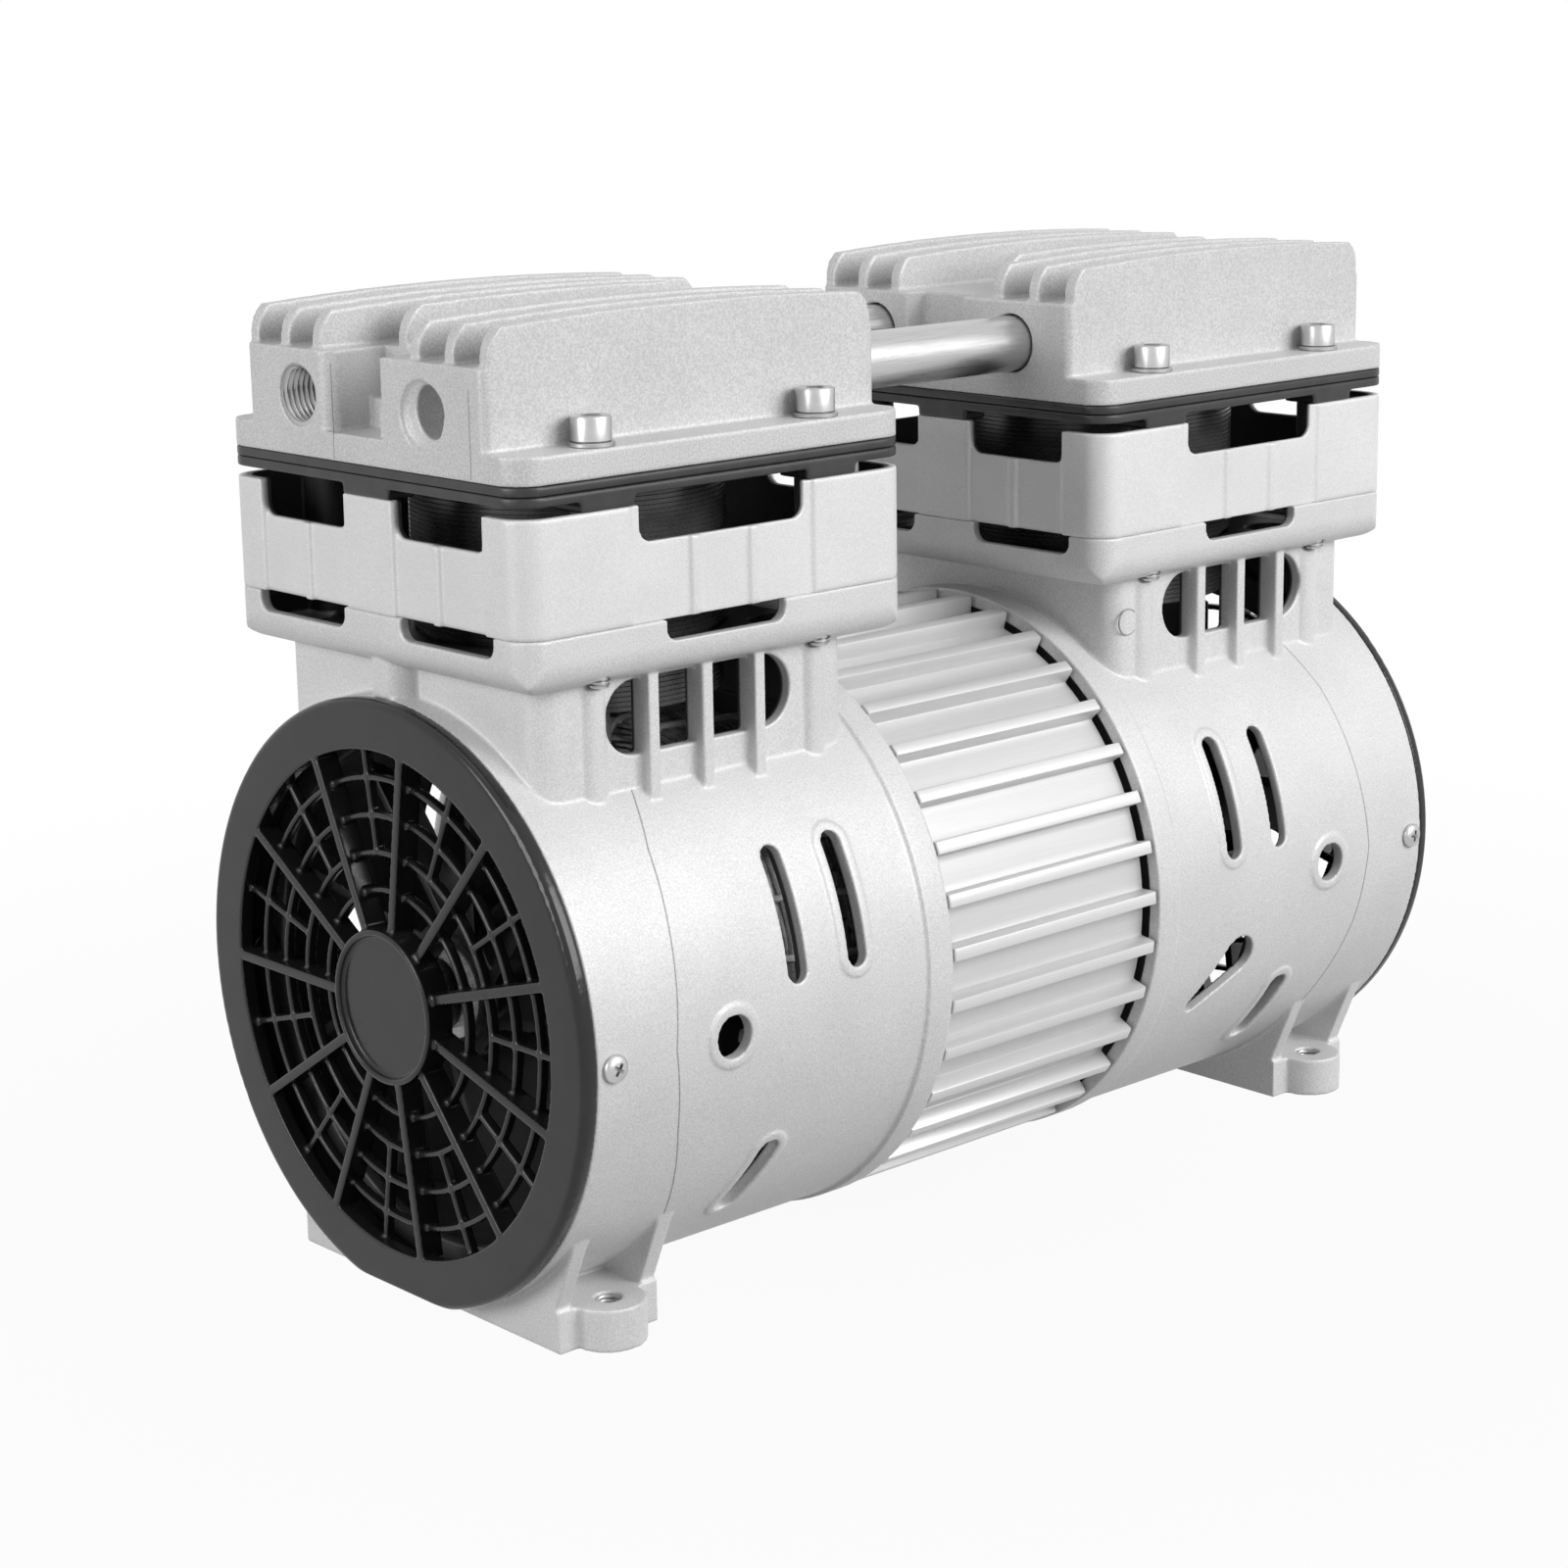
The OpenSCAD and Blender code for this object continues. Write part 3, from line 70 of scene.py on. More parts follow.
camera.matrix_world = Matrix.Translation(CAMERA_PLACE) @ Matrix(
    (camera_right, camera_up, -view_direction)).transposed().to_4x4()
scene.camera = camera


# Floor
# A white studio floor under the feet. It shows almost white, and keeps a faint shadow.
def linked(obj):
    scene.collection.objects.link(obj)
    return obj


def new_material(name):
    material = bpy.data.materials.new(name)
    material.use_nodes = True
    return material, material.node_tree


def from_faces(name, points, faces):
    mesh = bpy.data.meshes.new(name)
    mesh.from_pydata(points, [], faces)
    mesh.validate()
    for face in mesh.polygons:
        face.use_smooth = True
    return linked(bpy.data.objects.new(name, mesh))


FLOOR_HALF = 3.0
floor = from_faces("floor", [(x, y, -0.0002) for x, y in (
    (-FLOOR_HALF, -FLOOR_HALF), (FLOOR_HALF, -FLOOR_HALF), (FLOOR_HALF, FLOOR_HALF),
    (-FLOOR_HALF, FLOOR_HALF))], [(0, 1, 2, 3)])
floor_material, tree = new_material("white_floor")
shader = tree.nodes["Principled BSDF"]
shader.inputs["Base Color"].default_value = (0.13, 0.13, 0.13, 1)
shader.inputs["Roughness"].default_value = 0.9
glow = tree.nodes.new("ShaderNodeEmission")
glow.inputs["Strength"].default_value = 1.0


def calculated(tree, operation, a, b=None):
    """The output of a math node whose inputs are sockets or plain numbers."""
    node = tree.nodes.new("ShaderNodeMath")
    node.operation = operation
    for value, socket in zip((a, b), node.inputs):
        if isinstance(value, (int, float)):
            socket.default_value = value
        elif value is not None:
            tree.links.new(value, socket)
    return node.outputs[0]


def seen_directly(tree):
    """1 for camera, glossy and transmission rays, and 0 for the rays that light things up."""
    rays = tree.nodes.new("ShaderNodeLightPath")
    clear = calculated(tree, "MAXIMUM", rays.outputs["Is Glossy Ray"], rays.outputs["Is Transmission Ray"])
    return calculated(tree, "MAXIMUM", rays.outputs["Is Camera Ray"], clear)


# The glow covers all but a little of the floor near the feet, where the shadow lies
SHADOW_REACH = 0.5
SHADOW_SHARE = 0.06
coordinates = tree.nodes.new("ShaderNodeTexCoord")
away = tree.nodes.new("ShaderNodeVectorMath")
away.operation = "LENGTH"
tree.links.new(coordinates.outputs["Object"], away.inputs[0])
near = calculated(tree, "SUBTRACT", 1.0, calculated(tree, "MINIMUM", 1.0, calculated(
    tree, "DIVIDE", away.outputs["Value"], SHADOW_REACH)))
share = calculated(tree, "SUBTRACT", 1.0, calculated(tree, "MULTIPLY", near, SHADOW_SHARE))
blend = tree.nodes.new("ShaderNodeMixShader")
tree.links.new(calculated(tree, "MULTIPLY", share, seen_directly(tree)), blend.inputs["Fac"])
tree.links.new(shader.outputs[0], blend.inputs[1])
tree.links.new(glow.outputs[0], blend.inputs[2])
tree.links.new(blend.outputs[0], tree.nodes["Material Output"].inputs["Surface"])
floor.data.materials.append(floor_material)

# Lights
# A broad soft lamp stands on the side with the slots, a weaker one before the front end and one
# above. Seen directly or in a polished face the room is white, and it lights the rest dimly.
world = bpy.data.worlds.new("room")
scene.world = world
world.use_nodes = True
tree = world.node_tree
for node in list(tree.nodes):
    tree.nodes.remove(node)
ROOM_HORIZON = 0.28
ROOM_FALL = 0.18
directions = tree.nodes.new("ShaderNodeTexCoord")
height = tree.nodes.new("ShaderNodeSeparateXYZ")
tree.links.new(directions.outputs["Generated"], height.inputs["Vector"])
level = calculated(tree, "SUBTRACT", ROOM_HORIZON, calculated(tree, "MULTIPLY", ROOM_FALL, calculated(
    tree, "ABSOLUTE", height.outputs["Z"])))
dim = tree.nodes.new("ShaderNodeBackground")
dim.inputs["Color"].default_value = (1, 1, 1, 1)
tree.links.new(level, dim.inputs["Strength"])
white = tree.nodes.new("ShaderNodeBackground")
white.inputs["Color"].default_value = (1, 1, 1, 1)
white.inputs["Strength"].default_value = 1.0
blend = tree.nodes.new("ShaderNodeMixShader")
tree.links.new(seen_directly(tree), blend.inputs["Fac"])
tree.links.new(dim.outputs[0], blend.inputs[1])
tree.links.new(white.outputs[0], blend.inputs[2])
world_out = tree.nodes.new("ShaderNodeOutputWorld")
tree.links.new(blend.outputs[0], world_out.inputs["Surface"])

AIM = Vector((0, 0, 0.1))


def softbox(name, place, power, width, height):
    lamp = bpy.data.lights.new(name, "AREA")
    lamp.shape = "RECTANGLE"
    lamp.size = width
    lamp.size_y = height
    lamp.energy = power
    obj = linked(bpy.data.objects.new(name, lamp))
    place = Vector(place)
    obj.matrix_world = Matrix.Translation(place) @ (AIM - place).to_track_quat("-Z", "Y").to_matrix().to_4x4()


softbox("side_softbox", (0.35, -1.2, 0.76), 17.5, 1.0, 0.8)
softbox("end_softbox", (-1.3, 0.15, 0.5), 8.8, 0.7, 0.7)
softbox("top_softbox", (0.1, 0.2, 1.5), 2.5, 0.9, 0.9)


# End housings
# Each is one aluminium die casting: a round shell with slots, a crank box, a tray and two feet. It
# is sandblasted, so its edges are soft and it has a fine bright grain. Both come from one mould.
MM = 0.001


def grain_coordinates(tree, stretch=(1, 1, 1)):
    place = tree.nodes.new("ShaderNodeTexCoord")
    mapping = tree.nodes.new("ShaderNodeMapping")
    mapping.inputs["Scale"].default_value = stretch
    tree.links.new(place.outputs["Object"], mapping.inputs["Vector"])
    return mapping.outputs["Vector"]


def noise(tree, vector, size, detail=2.0, rough=0.5):
    node = tree.nodes.new("ShaderNodeTexNoise")
    node.inputs["Scale"].default_value = 1 / size
    node.inputs["Detail"].default_value = detail
    node.inputs["Roughness"].default_value = rough
    tree.links.new(vector, node.inputs["Vector"])
    return node.outputs["Fac"]


def ramp(tree, value, stops):
    node = tree.nodes.new("ShaderNodeValToRGB")
    while len(node.color_ramp.elements) < len(stops):
        node.color_ramp.elements.new(0.5)
    for element, (place, grey) in zip(node.color_ramp.elements, stops):
        element.position = place
        element.color = (*grey, 1) if isinstance(grey, tuple) else (grey, grey, grey, 1)
    tree.links.new(value, node.inputs["Fac"])
    return node.outputs["Color"]


def multiply(tree, a, b):
    node = tree.nodes.new("ShaderNodeMix")
    node.data_type = "RGBA"
    node.blend_type = "MULTIPLY"
    node.inputs["Factor"].default_value = 1.0
    tree.links.new(a, node.inputs[6])
    tree.links.new(b, node.inputs[7])
    return node.outputs[2]


def bump(tree, shader, height, strength, depth, below=None):
    node = tree.nodes.new("ShaderNodeBump")
    node.inputs["Strength"].default_value = strength
    node.inputs["Distance"].default_value = depth
    tree.links.new(height, node.inputs["Height"])
    if below:
        tree.links.new(below, node.inputs["Normal"])
    tree.links.new(node.outputs["Normal"], shader.inputs["Normal"])
    return node.outputs["Normal"]


AXIS_H = 70.7 * MM
SHELL_R = 69.4 * MM
CYL_X = 87.5 * MM
BOX_MIDDLE = 89.55 * MM
BOX_HALF_L = 44.75 * MM
BOX_HALF_W = 46.4 * MM
BOX_CORNER_R = 6 * MM
TRAY_FLOOR_Z = 151.1 * MM
TRAY_HALF_L = 55.2 * MM
TRAY_HALF_W = 53.8 * MM
TRAY_CORNER_R = 7 * MM
SKIN_FADE = 0.6 * MM


def distance(tree, a, b):
    """The length of a flat vector with these two parts."""
    return calculated(tree, "SQRT", calculated(tree, "ADD", calculated(tree, "MULTIPLY", a, a),
                                               calculated(tree, "MULTIPLY", b, b)))


def inside_castings(tree, vector, skin):
    """1 on the inner faces of shell, crank box and tray, and 0 within the skin's depth of their outside."""
    parts = tree.nodes.new("ShaderNodeSeparateXYZ")
    tree.links.new(vector, parts.inputs["Vector"])
    along = calculated(tree, "ABSOLUTE", parts.outputs["X"])
    across = calculated(tree, "ABSOLUTE", parts.outputs["Y"])

    def depth_in_block(middle, half_l, half_w, corner, floor_z):
        past_l = calculated(tree, "SUBTRACT", calculated(tree, "ABSOLUTE", calculated(
            tree, "SUBTRACT", along, middle)), half_l - corner)
        past_w = calculated(tree, "SUBTRACT", across, half_w - corner)
        round_part = distance(tree, calculated(tree, "MAXIMUM", past_l, 0.0),
                              calculated(tree, "MAXIMUM", past_w, 0.0))
        straight_part = calculated(tree, "MINIMUM", calculated(tree, "MAXIMUM", past_l, past_w), 0.0)
        depth = calculated(tree, "SUBTRACT", corner, calculated(tree, "ADD", round_part, straight_part))
        above = calculated(tree, "ADD", calculated(tree, "SUBTRACT", parts.outputs["Z"], floor_z), skin)
        return calculated(tree, "MINIMUM", above, depth)

    height = calculated(tree, "SUBTRACT", parts.outputs["Z"], AXIS_H)
    shell = calculated(tree, "SUBTRACT", SHELL_R, distance(tree, across, height))
    box = depth_in_block(BOX_MIDDLE, BOX_HALF_L, BOX_HALF_W, BOX_CORNER_R, AXIS_H)
    tray = depth_in_block(CYL_X, TRAY_HALF_L, TRAY_HALF_W, TRAY_CORNER_R, TRAY_FLOOR_Z)
    deepest = calculated(tree, "MAXIMUM", shell, calculated(tree, "MAXIMUM", box, tray))
    return calculated(tree, "DIVIDE", calculated(tree, "SUBTRACT", deepest, skin), SKIN_FADE)


def blasted_casting(name, dark, light, grain, skin=None):
    """Blasted outside. Where a skin's depth is given, the faces that lie deeper are darkened with painted
    shade.
    """
    material, tree = new_material(name)
    shader = tree.nodes["Principled BSDF"]
    shader.inputs["Metallic"].default_value = 0.12
    vector = grain_coordinates(tree)
    fine = noise(tree, vector, grain, 3.0, 0.65)
    speckle = ramp(tree, fine, ((0.36, dark), (0.5, (dark + light) / 2), (0.62, light)))
    cloud = ramp(tree, noise(tree, vector, 22 * MM, 3.0), ((0.3, 0.93), (0.7, 1.0)))
    colour = multiply(tree, speckle, cloud)
    # Painted shade: the inner faces of shell, crank box and tray are darkened to stand in for the shade
    # inside the casting
    if skin:
        inner_shade = ramp(tree, inside_castings(tree, vector, skin), ((0.0, 1.0), (1.0, 0.1)))
        colour = multiply(tree, colour, inner_shade)
    tree.links.new(colour, shader.inputs["Base Color"])
    tree.links.new(ramp(tree, fine, ((0.3, 0.52), (0.75, 0.40))), shader.inputs["Roughness"])
    coarse = noise(tree, vector, 2.2 * grain, 2.0)
    below = bump(tree, shader, coarse, 0.2, 0.1 * MM)
    bump(tree, shader, fine, 0.45, 0.1 * MM, below)
    return material


# The housing's inner faces get painted shade through the skin depth
housing_material = blasted_casting("blasted_housing_casting", 0.64, 0.8, 0.42 * MM, 2.1 * MM)


def joined(mesh, parts, cut):
    """A mesh object's data with closed bodies added to it, and others cut from it."""
    base = linked(bpy.data.objects.new("work", mesh))
    tools = []
    for operation, group in (("UNION", parts), ("DIFFERENCE", cut)):
        for points, faces in group:
            tool = from_faces("tool", points, faces)
            modifier = base.modifiers.new("join", "BOOLEAN")
            modifier.operation = operation
            modifier.object = tool
            modifier.solver = "EXACT"
            tools.append(tool)
    result = bpy.data.meshes.new_from_object(base.evaluated_get(bpy.context.evaluated_depsgraph_get()))
    for obj in tools + [base]:
        bpy.data.objects.remove(obj)
    return result


def soft_edged(mesh, grain, passes, keep):
    """The mesh closed over at one grain size, its edges rounded, then thinned to a share of its faces."""
    base = linked(bpy.data.objects.new("work", mesh))
    remesh = base.modifiers.new("remesh", "REMESH")
    remesh.mode = "VOXEL"
    remesh.voxel_size = grain
    remesh.use_smooth_shade = True
    smooth = base.modifiers.new("smooth", "SMOOTH")
    smooth.factor = 0.5
    smooth.iterations = passes
    if keep < 1:
        thin = base.modifiers.new("thin", "DECIMATE")
        thin.ratio = keep
    result = bpy.data.meshes.new_from_object(base.evaluated_get(bpy.context.evaluated_depsgraph_get()))
    bpy.data.objects.remove(base)
    for face in result.polygons:
        face.use_smooth = True
    return result


def placed(name, mesh, material, body, slot, *nodes):
    """A finished piece: its material, the body it rides on and the solids it stands for."""
    mesh.materials.clear()
    mesh.materials.append(material)
    piece = linked(bpy.data.objects.new(name, mesh))
    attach(piece, body)
    if nodes:
        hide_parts(*nodes)
    return piece


def turned_round(mesh):
    copy = mesh.copy()
    copy.transform(Matrix.Rotation(math.pi, 4, "Z"))
    return copy


# The innermost radius of a body that is closed on its axis
NEAR_AXIS = 0.001 * MM


def lathe(profile, count, closed=False):
    """A body of revolution about Z from (radius, height) pairs. An open profile ends on the axis."""
    points = [Vector((r * math.cos(2 * math.pi * k / count), r * math.sin(2 * math.pi * k / count), z))
              for r, z in profile for k in range(count)]
    rows = len(profile)
    faces = []
    for i in range(rows if closed else rows - 1):
        j = (i + 1) % rows
        for k in range(count):
            n = (k + 1) % count
            faces.append((i * count + k, i * count + n, j * count + n, j * count + k))
    if not closed:
        faces.append(tuple(range(count))[::-1])
        faces.append(tuple((rows - 1) * count + k for k in range(count)))
    return points, faces


def moved(part, matrix):
    points, faces = part
    return [matrix @ Vector(p) for p in points], faces


HOUSING_GRAIN = 0.42 * MM
FOOT_X = 121.5 * MM
FOOT_Y = 48.0 * MM
PAD_H = 9.7 * MM
FOOT_BED_R = 3.15 * MM
foot_bed = lathe(((NEAR_AXIS, -MM), (FOOT_BED_R, -MM), (FOOT_BED_R, PAD_H + MM), (NEAR_AXIS, PAD_H + MM)), 32)
foot_beds = [moved(foot_bed, Matrix.Translation((FOOT_X, side * FOOT_Y, 0))) for side in (-1, 1)]
housing_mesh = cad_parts["rear_housing"].data.copy()
housing_mesh = joined(housing_mesh, [], foot_beds)
housing_mesh = soft_edged(housing_mesh, HOUSING_GRAIN, 2, 0.22)
placed("rear_housing_casting", housing_mesh, housing_material, "frame", "cast", "rear_housing")
placed("front_housing_casting", turned_round(housing_mesh), housing_material, "frame", "cast",
       "front_housing")

# Parting lines and ejector marks
# Where the two halves of the mould met, a hair of flash stands on both sides of each shell. An
# ejector pin has left a fine raised ring on one side of the crank box.
FLASH_R = 0.26 * MM
FLASH_SUNK = 0.15 * MM
MARK_BEAD_R = 0.24 * MM
MARK_SUNK = 0.1 * MM
MARK_R = 3.2 * MM
MARK_X = 50.0 * MM
MARK_Z = 136.4 * MM
# Its place along the motor at heights round the shell, in degrees from the horizontal
PARTING = ((-58, 107), (-40, 110), (-16, 116), (0, 118), (22, 115.3), (36, 113.5), (50, 109))


def swept_bead(path, radius, closed, sides=8):
    """Points and faces of a thin round bead along a path of (point, outward direction)."""
    points, faces = [], []
    count = len(path)
    for i, (centre, outward) in enumerate(path):
        ahead = path[(i + 1) % count][0] if closed or i + 1 < count else centre
        behind = path[i - 1][0] if closed or i else centre
        along = (ahead - behind).normalized()
        across = along.cross(outward).normalized()
        up = across.cross(along)
        for k in range(sides):
            turn = 2 * math.pi * k / sides
            points.append(centre + (across * math.cos(turn) + up * math.sin(turn)) * radius)
    rings = count if closed else count - 1
    for i in range(rings):
        for k in range(sides):
            a, b = i * sides + k, i * sides + (k + 1) % sides
            c, d = ((i + 1) % count) * sides + (k + 1) % sides, ((i + 1) % count) * sides + k
            faces.append((a, b, c, d))
    if not closed:
        faces.append(tuple(range(sides))[::-1])
        faces.append(tuple((count - 1) * sides + k for k in range(sides)))
    return points, faces


def merged(meshes):
    """One mesh out of many lists of points and faces."""
    points, faces = [], []
    for more_points, more_faces in meshes:
        start = len(points)
        points += more_points
        faces += [tuple(start + k for k in face) for face in more_faces]
    return points, faces


def mesh_of(part):
    points, faces = part
    mesh = bpy.data.meshes.new("part")
    mesh.from_pydata([tuple(p) for p in points], [], faces)
    mesh.validate()
    work = bmesh.new()
    work.from_mesh(mesh)
    bmesh.ops.remove_doubles(work, verts=work.verts, dist=1e-7)
    bmesh.ops.recalc_face_normals(work, faces=work.faces)
    work.to_mesh(mesh)
    work.free()
    for face in mesh.polygons:
        face.use_smooth = True
    mesh.set_sharp_from_angle(angle=math.radians(40))
    return mesh


def parting_line(side):
    path = []
    for (a0, x0), (a1, x1) in zip(PARTING, PARTING[1:]):
        for k in range(8):
            angle = math.radians(a0 + (a1 - a0) * k / 8)
            x = (x0 + (x1 - x0) * k / 8) * MM
            outward = Vector((0, side * math.cos(angle), math.sin(angle)))
            path.append((Vector((x, 0, AXIS_H)) + outward * (SHELL_R - FLASH_SUNK), outward))
    return swept_bead(path, FLASH_R, False)


def ejector_mark():
    path = []
    for k in range(36):
        angle = 2 * math.pi * k / 36
        path.append((Vector((MARK_X + MARK_R * math.cos(angle), MARK_SUNK - BOX_HALF_W,
                             MARK_Z + MARK_R * math.sin(angle))), Vector((0, -1, 0))))
    return swept_bead(path, MARK_BEAD_R, True)


flash = mesh_of(merged([parting_line(-1), parting_line(1), ejector_mark()]))
# The flash and the ejector ring are coloured dark grey as painted shade along them
flash_painted_shade_material = blasted_casting("casting_flash_painted_shade", 0.3, 0.45, 0.5 * MM)
placed("rear_parting_lines", flash, flash_painted_shade_material, "frame", "cast")
placed("front_parting_lines", turned_round(flash), flash_painted_shade_material, "frame", "cast")

# Cylinder heads
# Each is a die casting with seven tall fins, two ports in its outer end and a flange for four bolts.
# The round ends of the fins and every edge are soft.
HEAD_GRAIN = 0.4 * MM
FLANGE_Z = 191.5 * MM
BLOCK_Z = 197.6 * MM
PORT_Z = 204.7 * MM
PORT_Y = 23.6 * MM
HEAD_END_X = 142.9 * MM
PORT_THREAD_L = 14.0 * MM
PORT_BED_R = 6.75 * MM

# A wide shallow dish runs into the mouth of the plain port, off its centre
DISH_R = 7.6 * MM
DISH_DEPTH = 1.8 * MM
DISH_SHIFT_Y = -2.2 * MM
DISH_SHIFT_Z = -0.8 * MM
along_motor = Matrix.Rotation(math.pi / 2, 4, "Y")
dish_profile = [(NEAR_AXIS, -DISH_DEPTH)]
for k in range(1, 7):
    angle = math.radians(15 * k)
    dish_profile.append((DISH_R * math.sin(angle), -DISH_DEPTH * math.cos(angle)))
dish_profile += [(DISH_R, MM), (NEAR_AXIS, MM)]
dish_place = Matrix.Translation((HEAD_END_X, PORT_Y + DISH_SHIFT_Y, PORT_Z + DISH_SHIFT_Z))
dish = moved(lathe(dish_profile, 40), dish_place @ along_motor)
thread_bed = moved(lathe(((NEAR_AXIS, -PORT_THREAD_L), (PORT_BED_R, -PORT_THREAD_L), (PORT_BED_R, MM),
                          (NEAR_AXIS, MM)), 48),
                   Matrix.Translation((HEAD_END_X, -PORT_Y, PORT_Z)) @ along_motor)
# A short peg stands in the pocket's corner
PEG_X0, PEG_X1 = HEAD_END_X - 5.5 * MM, HEAD_END_X - 2.2 * MM
PEG_Y0, PEG_Y1 = 3.4 * MM, 8.0 * MM
PEG_Z0, PEG_Z1 = BLOCK_Z - MM, BLOCK_Z + 6.6 * MM
peg = ([(x, y, z) for z in (PEG_Z0, PEG_Z1) for x, y in (
    (PEG_X0, PEG_Y0), (PEG_X1, PEG_Y0), (PEG_X1, PEG_Y1), (PEG_X0, PEG_Y1))],
    [(3, 2, 1, 0), (4, 5, 6, 7)] + [(k, (k + 1) % 4, (k + 1) % 4 + 4, k + 4) for k in range(4)])
head_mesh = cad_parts["rear_head"].data.copy()
head_mesh = joined(head_mesh, [peg], [dish, thread_bed])
head_mesh = soft_edged(head_mesh, HEAD_GRAIN, 2, 0.32)
head_material = blasted_casting("blasted_head_casting", 0.54, 0.72, 0.5 * MM)
placed("rear_head_casting", head_mesh, head_material, "frame", "cast", "rear_head")
placed("front_head_casting", turned_round(head_mesh), head_material, "frame", "cast", "front_head")

# The die's inserts have left two fine upright lines on each end face: where they stand, and their tops
FACE_LINES = ((-10.7 * MM, 212 * MM), (37.9 * MM, 210 * MM))
FACE_LINE_R = 0.17 * MM
FACE_LINE_SUNK = 0.06 * MM


def face_line(y, top):
    path = []
    for k in range(5):
        z = FLANGE_Z + 0.5 * MM + (top - FLANGE_Z) * k / 4
        path.append((Vector((HEAD_END_X - FACE_LINE_SUNK, y, z)), Vector((1, 0, 0))))
    return swept_bead(path, FACE_LINE_R, False)


insert_lines = mesh_of(merged([face_line(y, top) for y, top in FACE_LINES]))
# The insert lines take the same dark grey, painted shade
placed("rear_head_insert_lines", insert_lines, flash_painted_shade_material, "frame", "cast")
placed("front_head_insert_lines", turned_round(insert_lines), flash_painted_shade_material, "frame", "cast")


# Threads of the ports
# A G1/4 thread is tapped in one port of each head. Its turns show as bright rings in the dark bore.
def tapped_thread(crest_r, groove_r, out_r, pitch, length, count=48):
    """A ring with a thread inside it, about Z, from minus its length up to 0."""
    rows_in_turn = 6
    rows = int(round(length / pitch * rows_in_turn))
    points = []
    for i in range(rows + 1):
        z = -length + i * length / rows
        for k in range(count):
            turn = (z / pitch + k / count) % 1.0
            depth = min(1.0, max(0.0, abs(2 * turn - 1) * 1.3 - 0.15))
            r = crest_r + (groove_r - crest_r) * depth
            points.append((r * math.cos(2 * math.pi * k / count), r * math.sin(2 * math.pi * k / count), z))
    for z in (0, -length):
        points += [(out_r * math.cos(2 * math.pi * k / count), out_r * math.sin(2 * math.pi * k / count), z)
                   for k in range(count)]
    total = rows + 3
    faces = [(i * count + k, i * count + (k + 1) % count, (i + 1) % total * count + (k + 1) % count,
              (i + 1) % total * count + k) for i in range(total) for k in range(count)]
    return points, faces


def machined_aluminium(name, grey, rough):
    material, tree = new_material(name)
    shader = tree.nodes["Principled BSDF"]
    shader.inputs["Metallic"].default_value = 0.7
    vector = grain_coordinates(tree)
    fine = noise(tree, vector, 0.3 * MM, 2.0)
    tree.links.new(ramp(tree, noise(tree, vector, 7 * MM, 3.0), ((0.3, grey * 0.88), (0.7, grey))),
                   shader.inputs["Base Color"])
    tree.links.new(ramp(tree, fine, ((0.3, rough), (0.7, rough + 0.12))), shader.inputs["Roughness"])
    bump(tree, shader, fine, 0.15, 0.02 * MM)
    return material


# Its grey is set darker than the machined rods as painted shade, for the shade inside the port and foot bores
thread_metal_painted_shade = machined_aluminium("cut_aluminium_painted_shade", 0.5, 0.3)
port_thread = tapped_thread(5.95 * MM, 6.6 * MM, 6.9 * MM, 1.337 * MM, 13.5 * MM)
for end, side in (("rear", 1), ("front", -1)):
    place = Matrix.Translation((side * (HEAD_END_X - 0.5 * MM), -side * PORT_Y, PORT_Z)) @ Matrix.Rotation(
        side * math.pi / 2, 4, "Y")
    placed(end + "_port_thread", mesh_of(moved(port_thread, place)), thread_metal_painted_shade, "frame", "cast")

# Shrouds
# A cast frame stands on each tray round the cylinder, with air windows in its upper edge and
# shallow panels on its sides.
# The shroud's inner faces also get painted shade from the same mask
shroud_material = blasted_casting("blasted_shroud_casting", 0.72, 0.84, 0.36 * MM, 1.3 * MM)
for end in ("front", "rear"):
    shroud = soft_edged(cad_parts[end + "_shroud"].data.copy(), 0.5 * MM, 2, 0.6)
    placed(end + "_shroud_casting", shroud, shroud_material, "frame", "cast", end + "_shroud")


# Grilles
# Each is moulded in black plastic: a ring with a rounded glossy edge, a hub disc, eleven spokes and
# a finer net behind them.
def moulded_plastic(name, grey, rough):
    material, tree = new_material(name)
    shader = tree.nodes["Principled BSDF"]
    vector = grain_coordinates(tree)
    fine = noise(tree, vector, 0.5 * MM, 2.0)
    tree.links.new(ramp(tree, noise(tree, vector, 9 * MM, 3.0), ((0.3, grey * 0.85), (0.7, grey * 1.15))),
                   shader.inputs["Base Color"])
    tree.links.new(ramp(tree, fine, ((0.3, rough - 0.04), (0.7, rough + 0.04))), shader.inputs["Roughness"])
    shader.inputs["Specular IOR Level"].default_value = 0.35
    bump(tree, shader, fine, 0.08, 0.02 * MM)
    return material


grille_material = moulded_plastic("moulded_black_grille", 0.02, 0.17)
for end in ("front", "rear"):
    grille = soft_edged(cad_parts[end + "_grille"].data.copy(), 0.4 * MM, 2, 0.5)
    placed(end + "_grille_moulding", grille, grille_material, "frame", "grille", end + "_grille")

# Motor sleeve
# A length of extruded aluminium with 35 ribs, sawn off square. The die leaves fine lines along it.
SLEEVE_HALF = 35.5 * MM
RIB_END_GAP = 0.9 * MM
SLEEVE_R = 65.6 * MM
SLEEVE_IN_R = 60.5 * MM
RIB_TIP_R = 70.0 * MM
RIB_W = 3.2 * MM
RIB_COUNT = 35


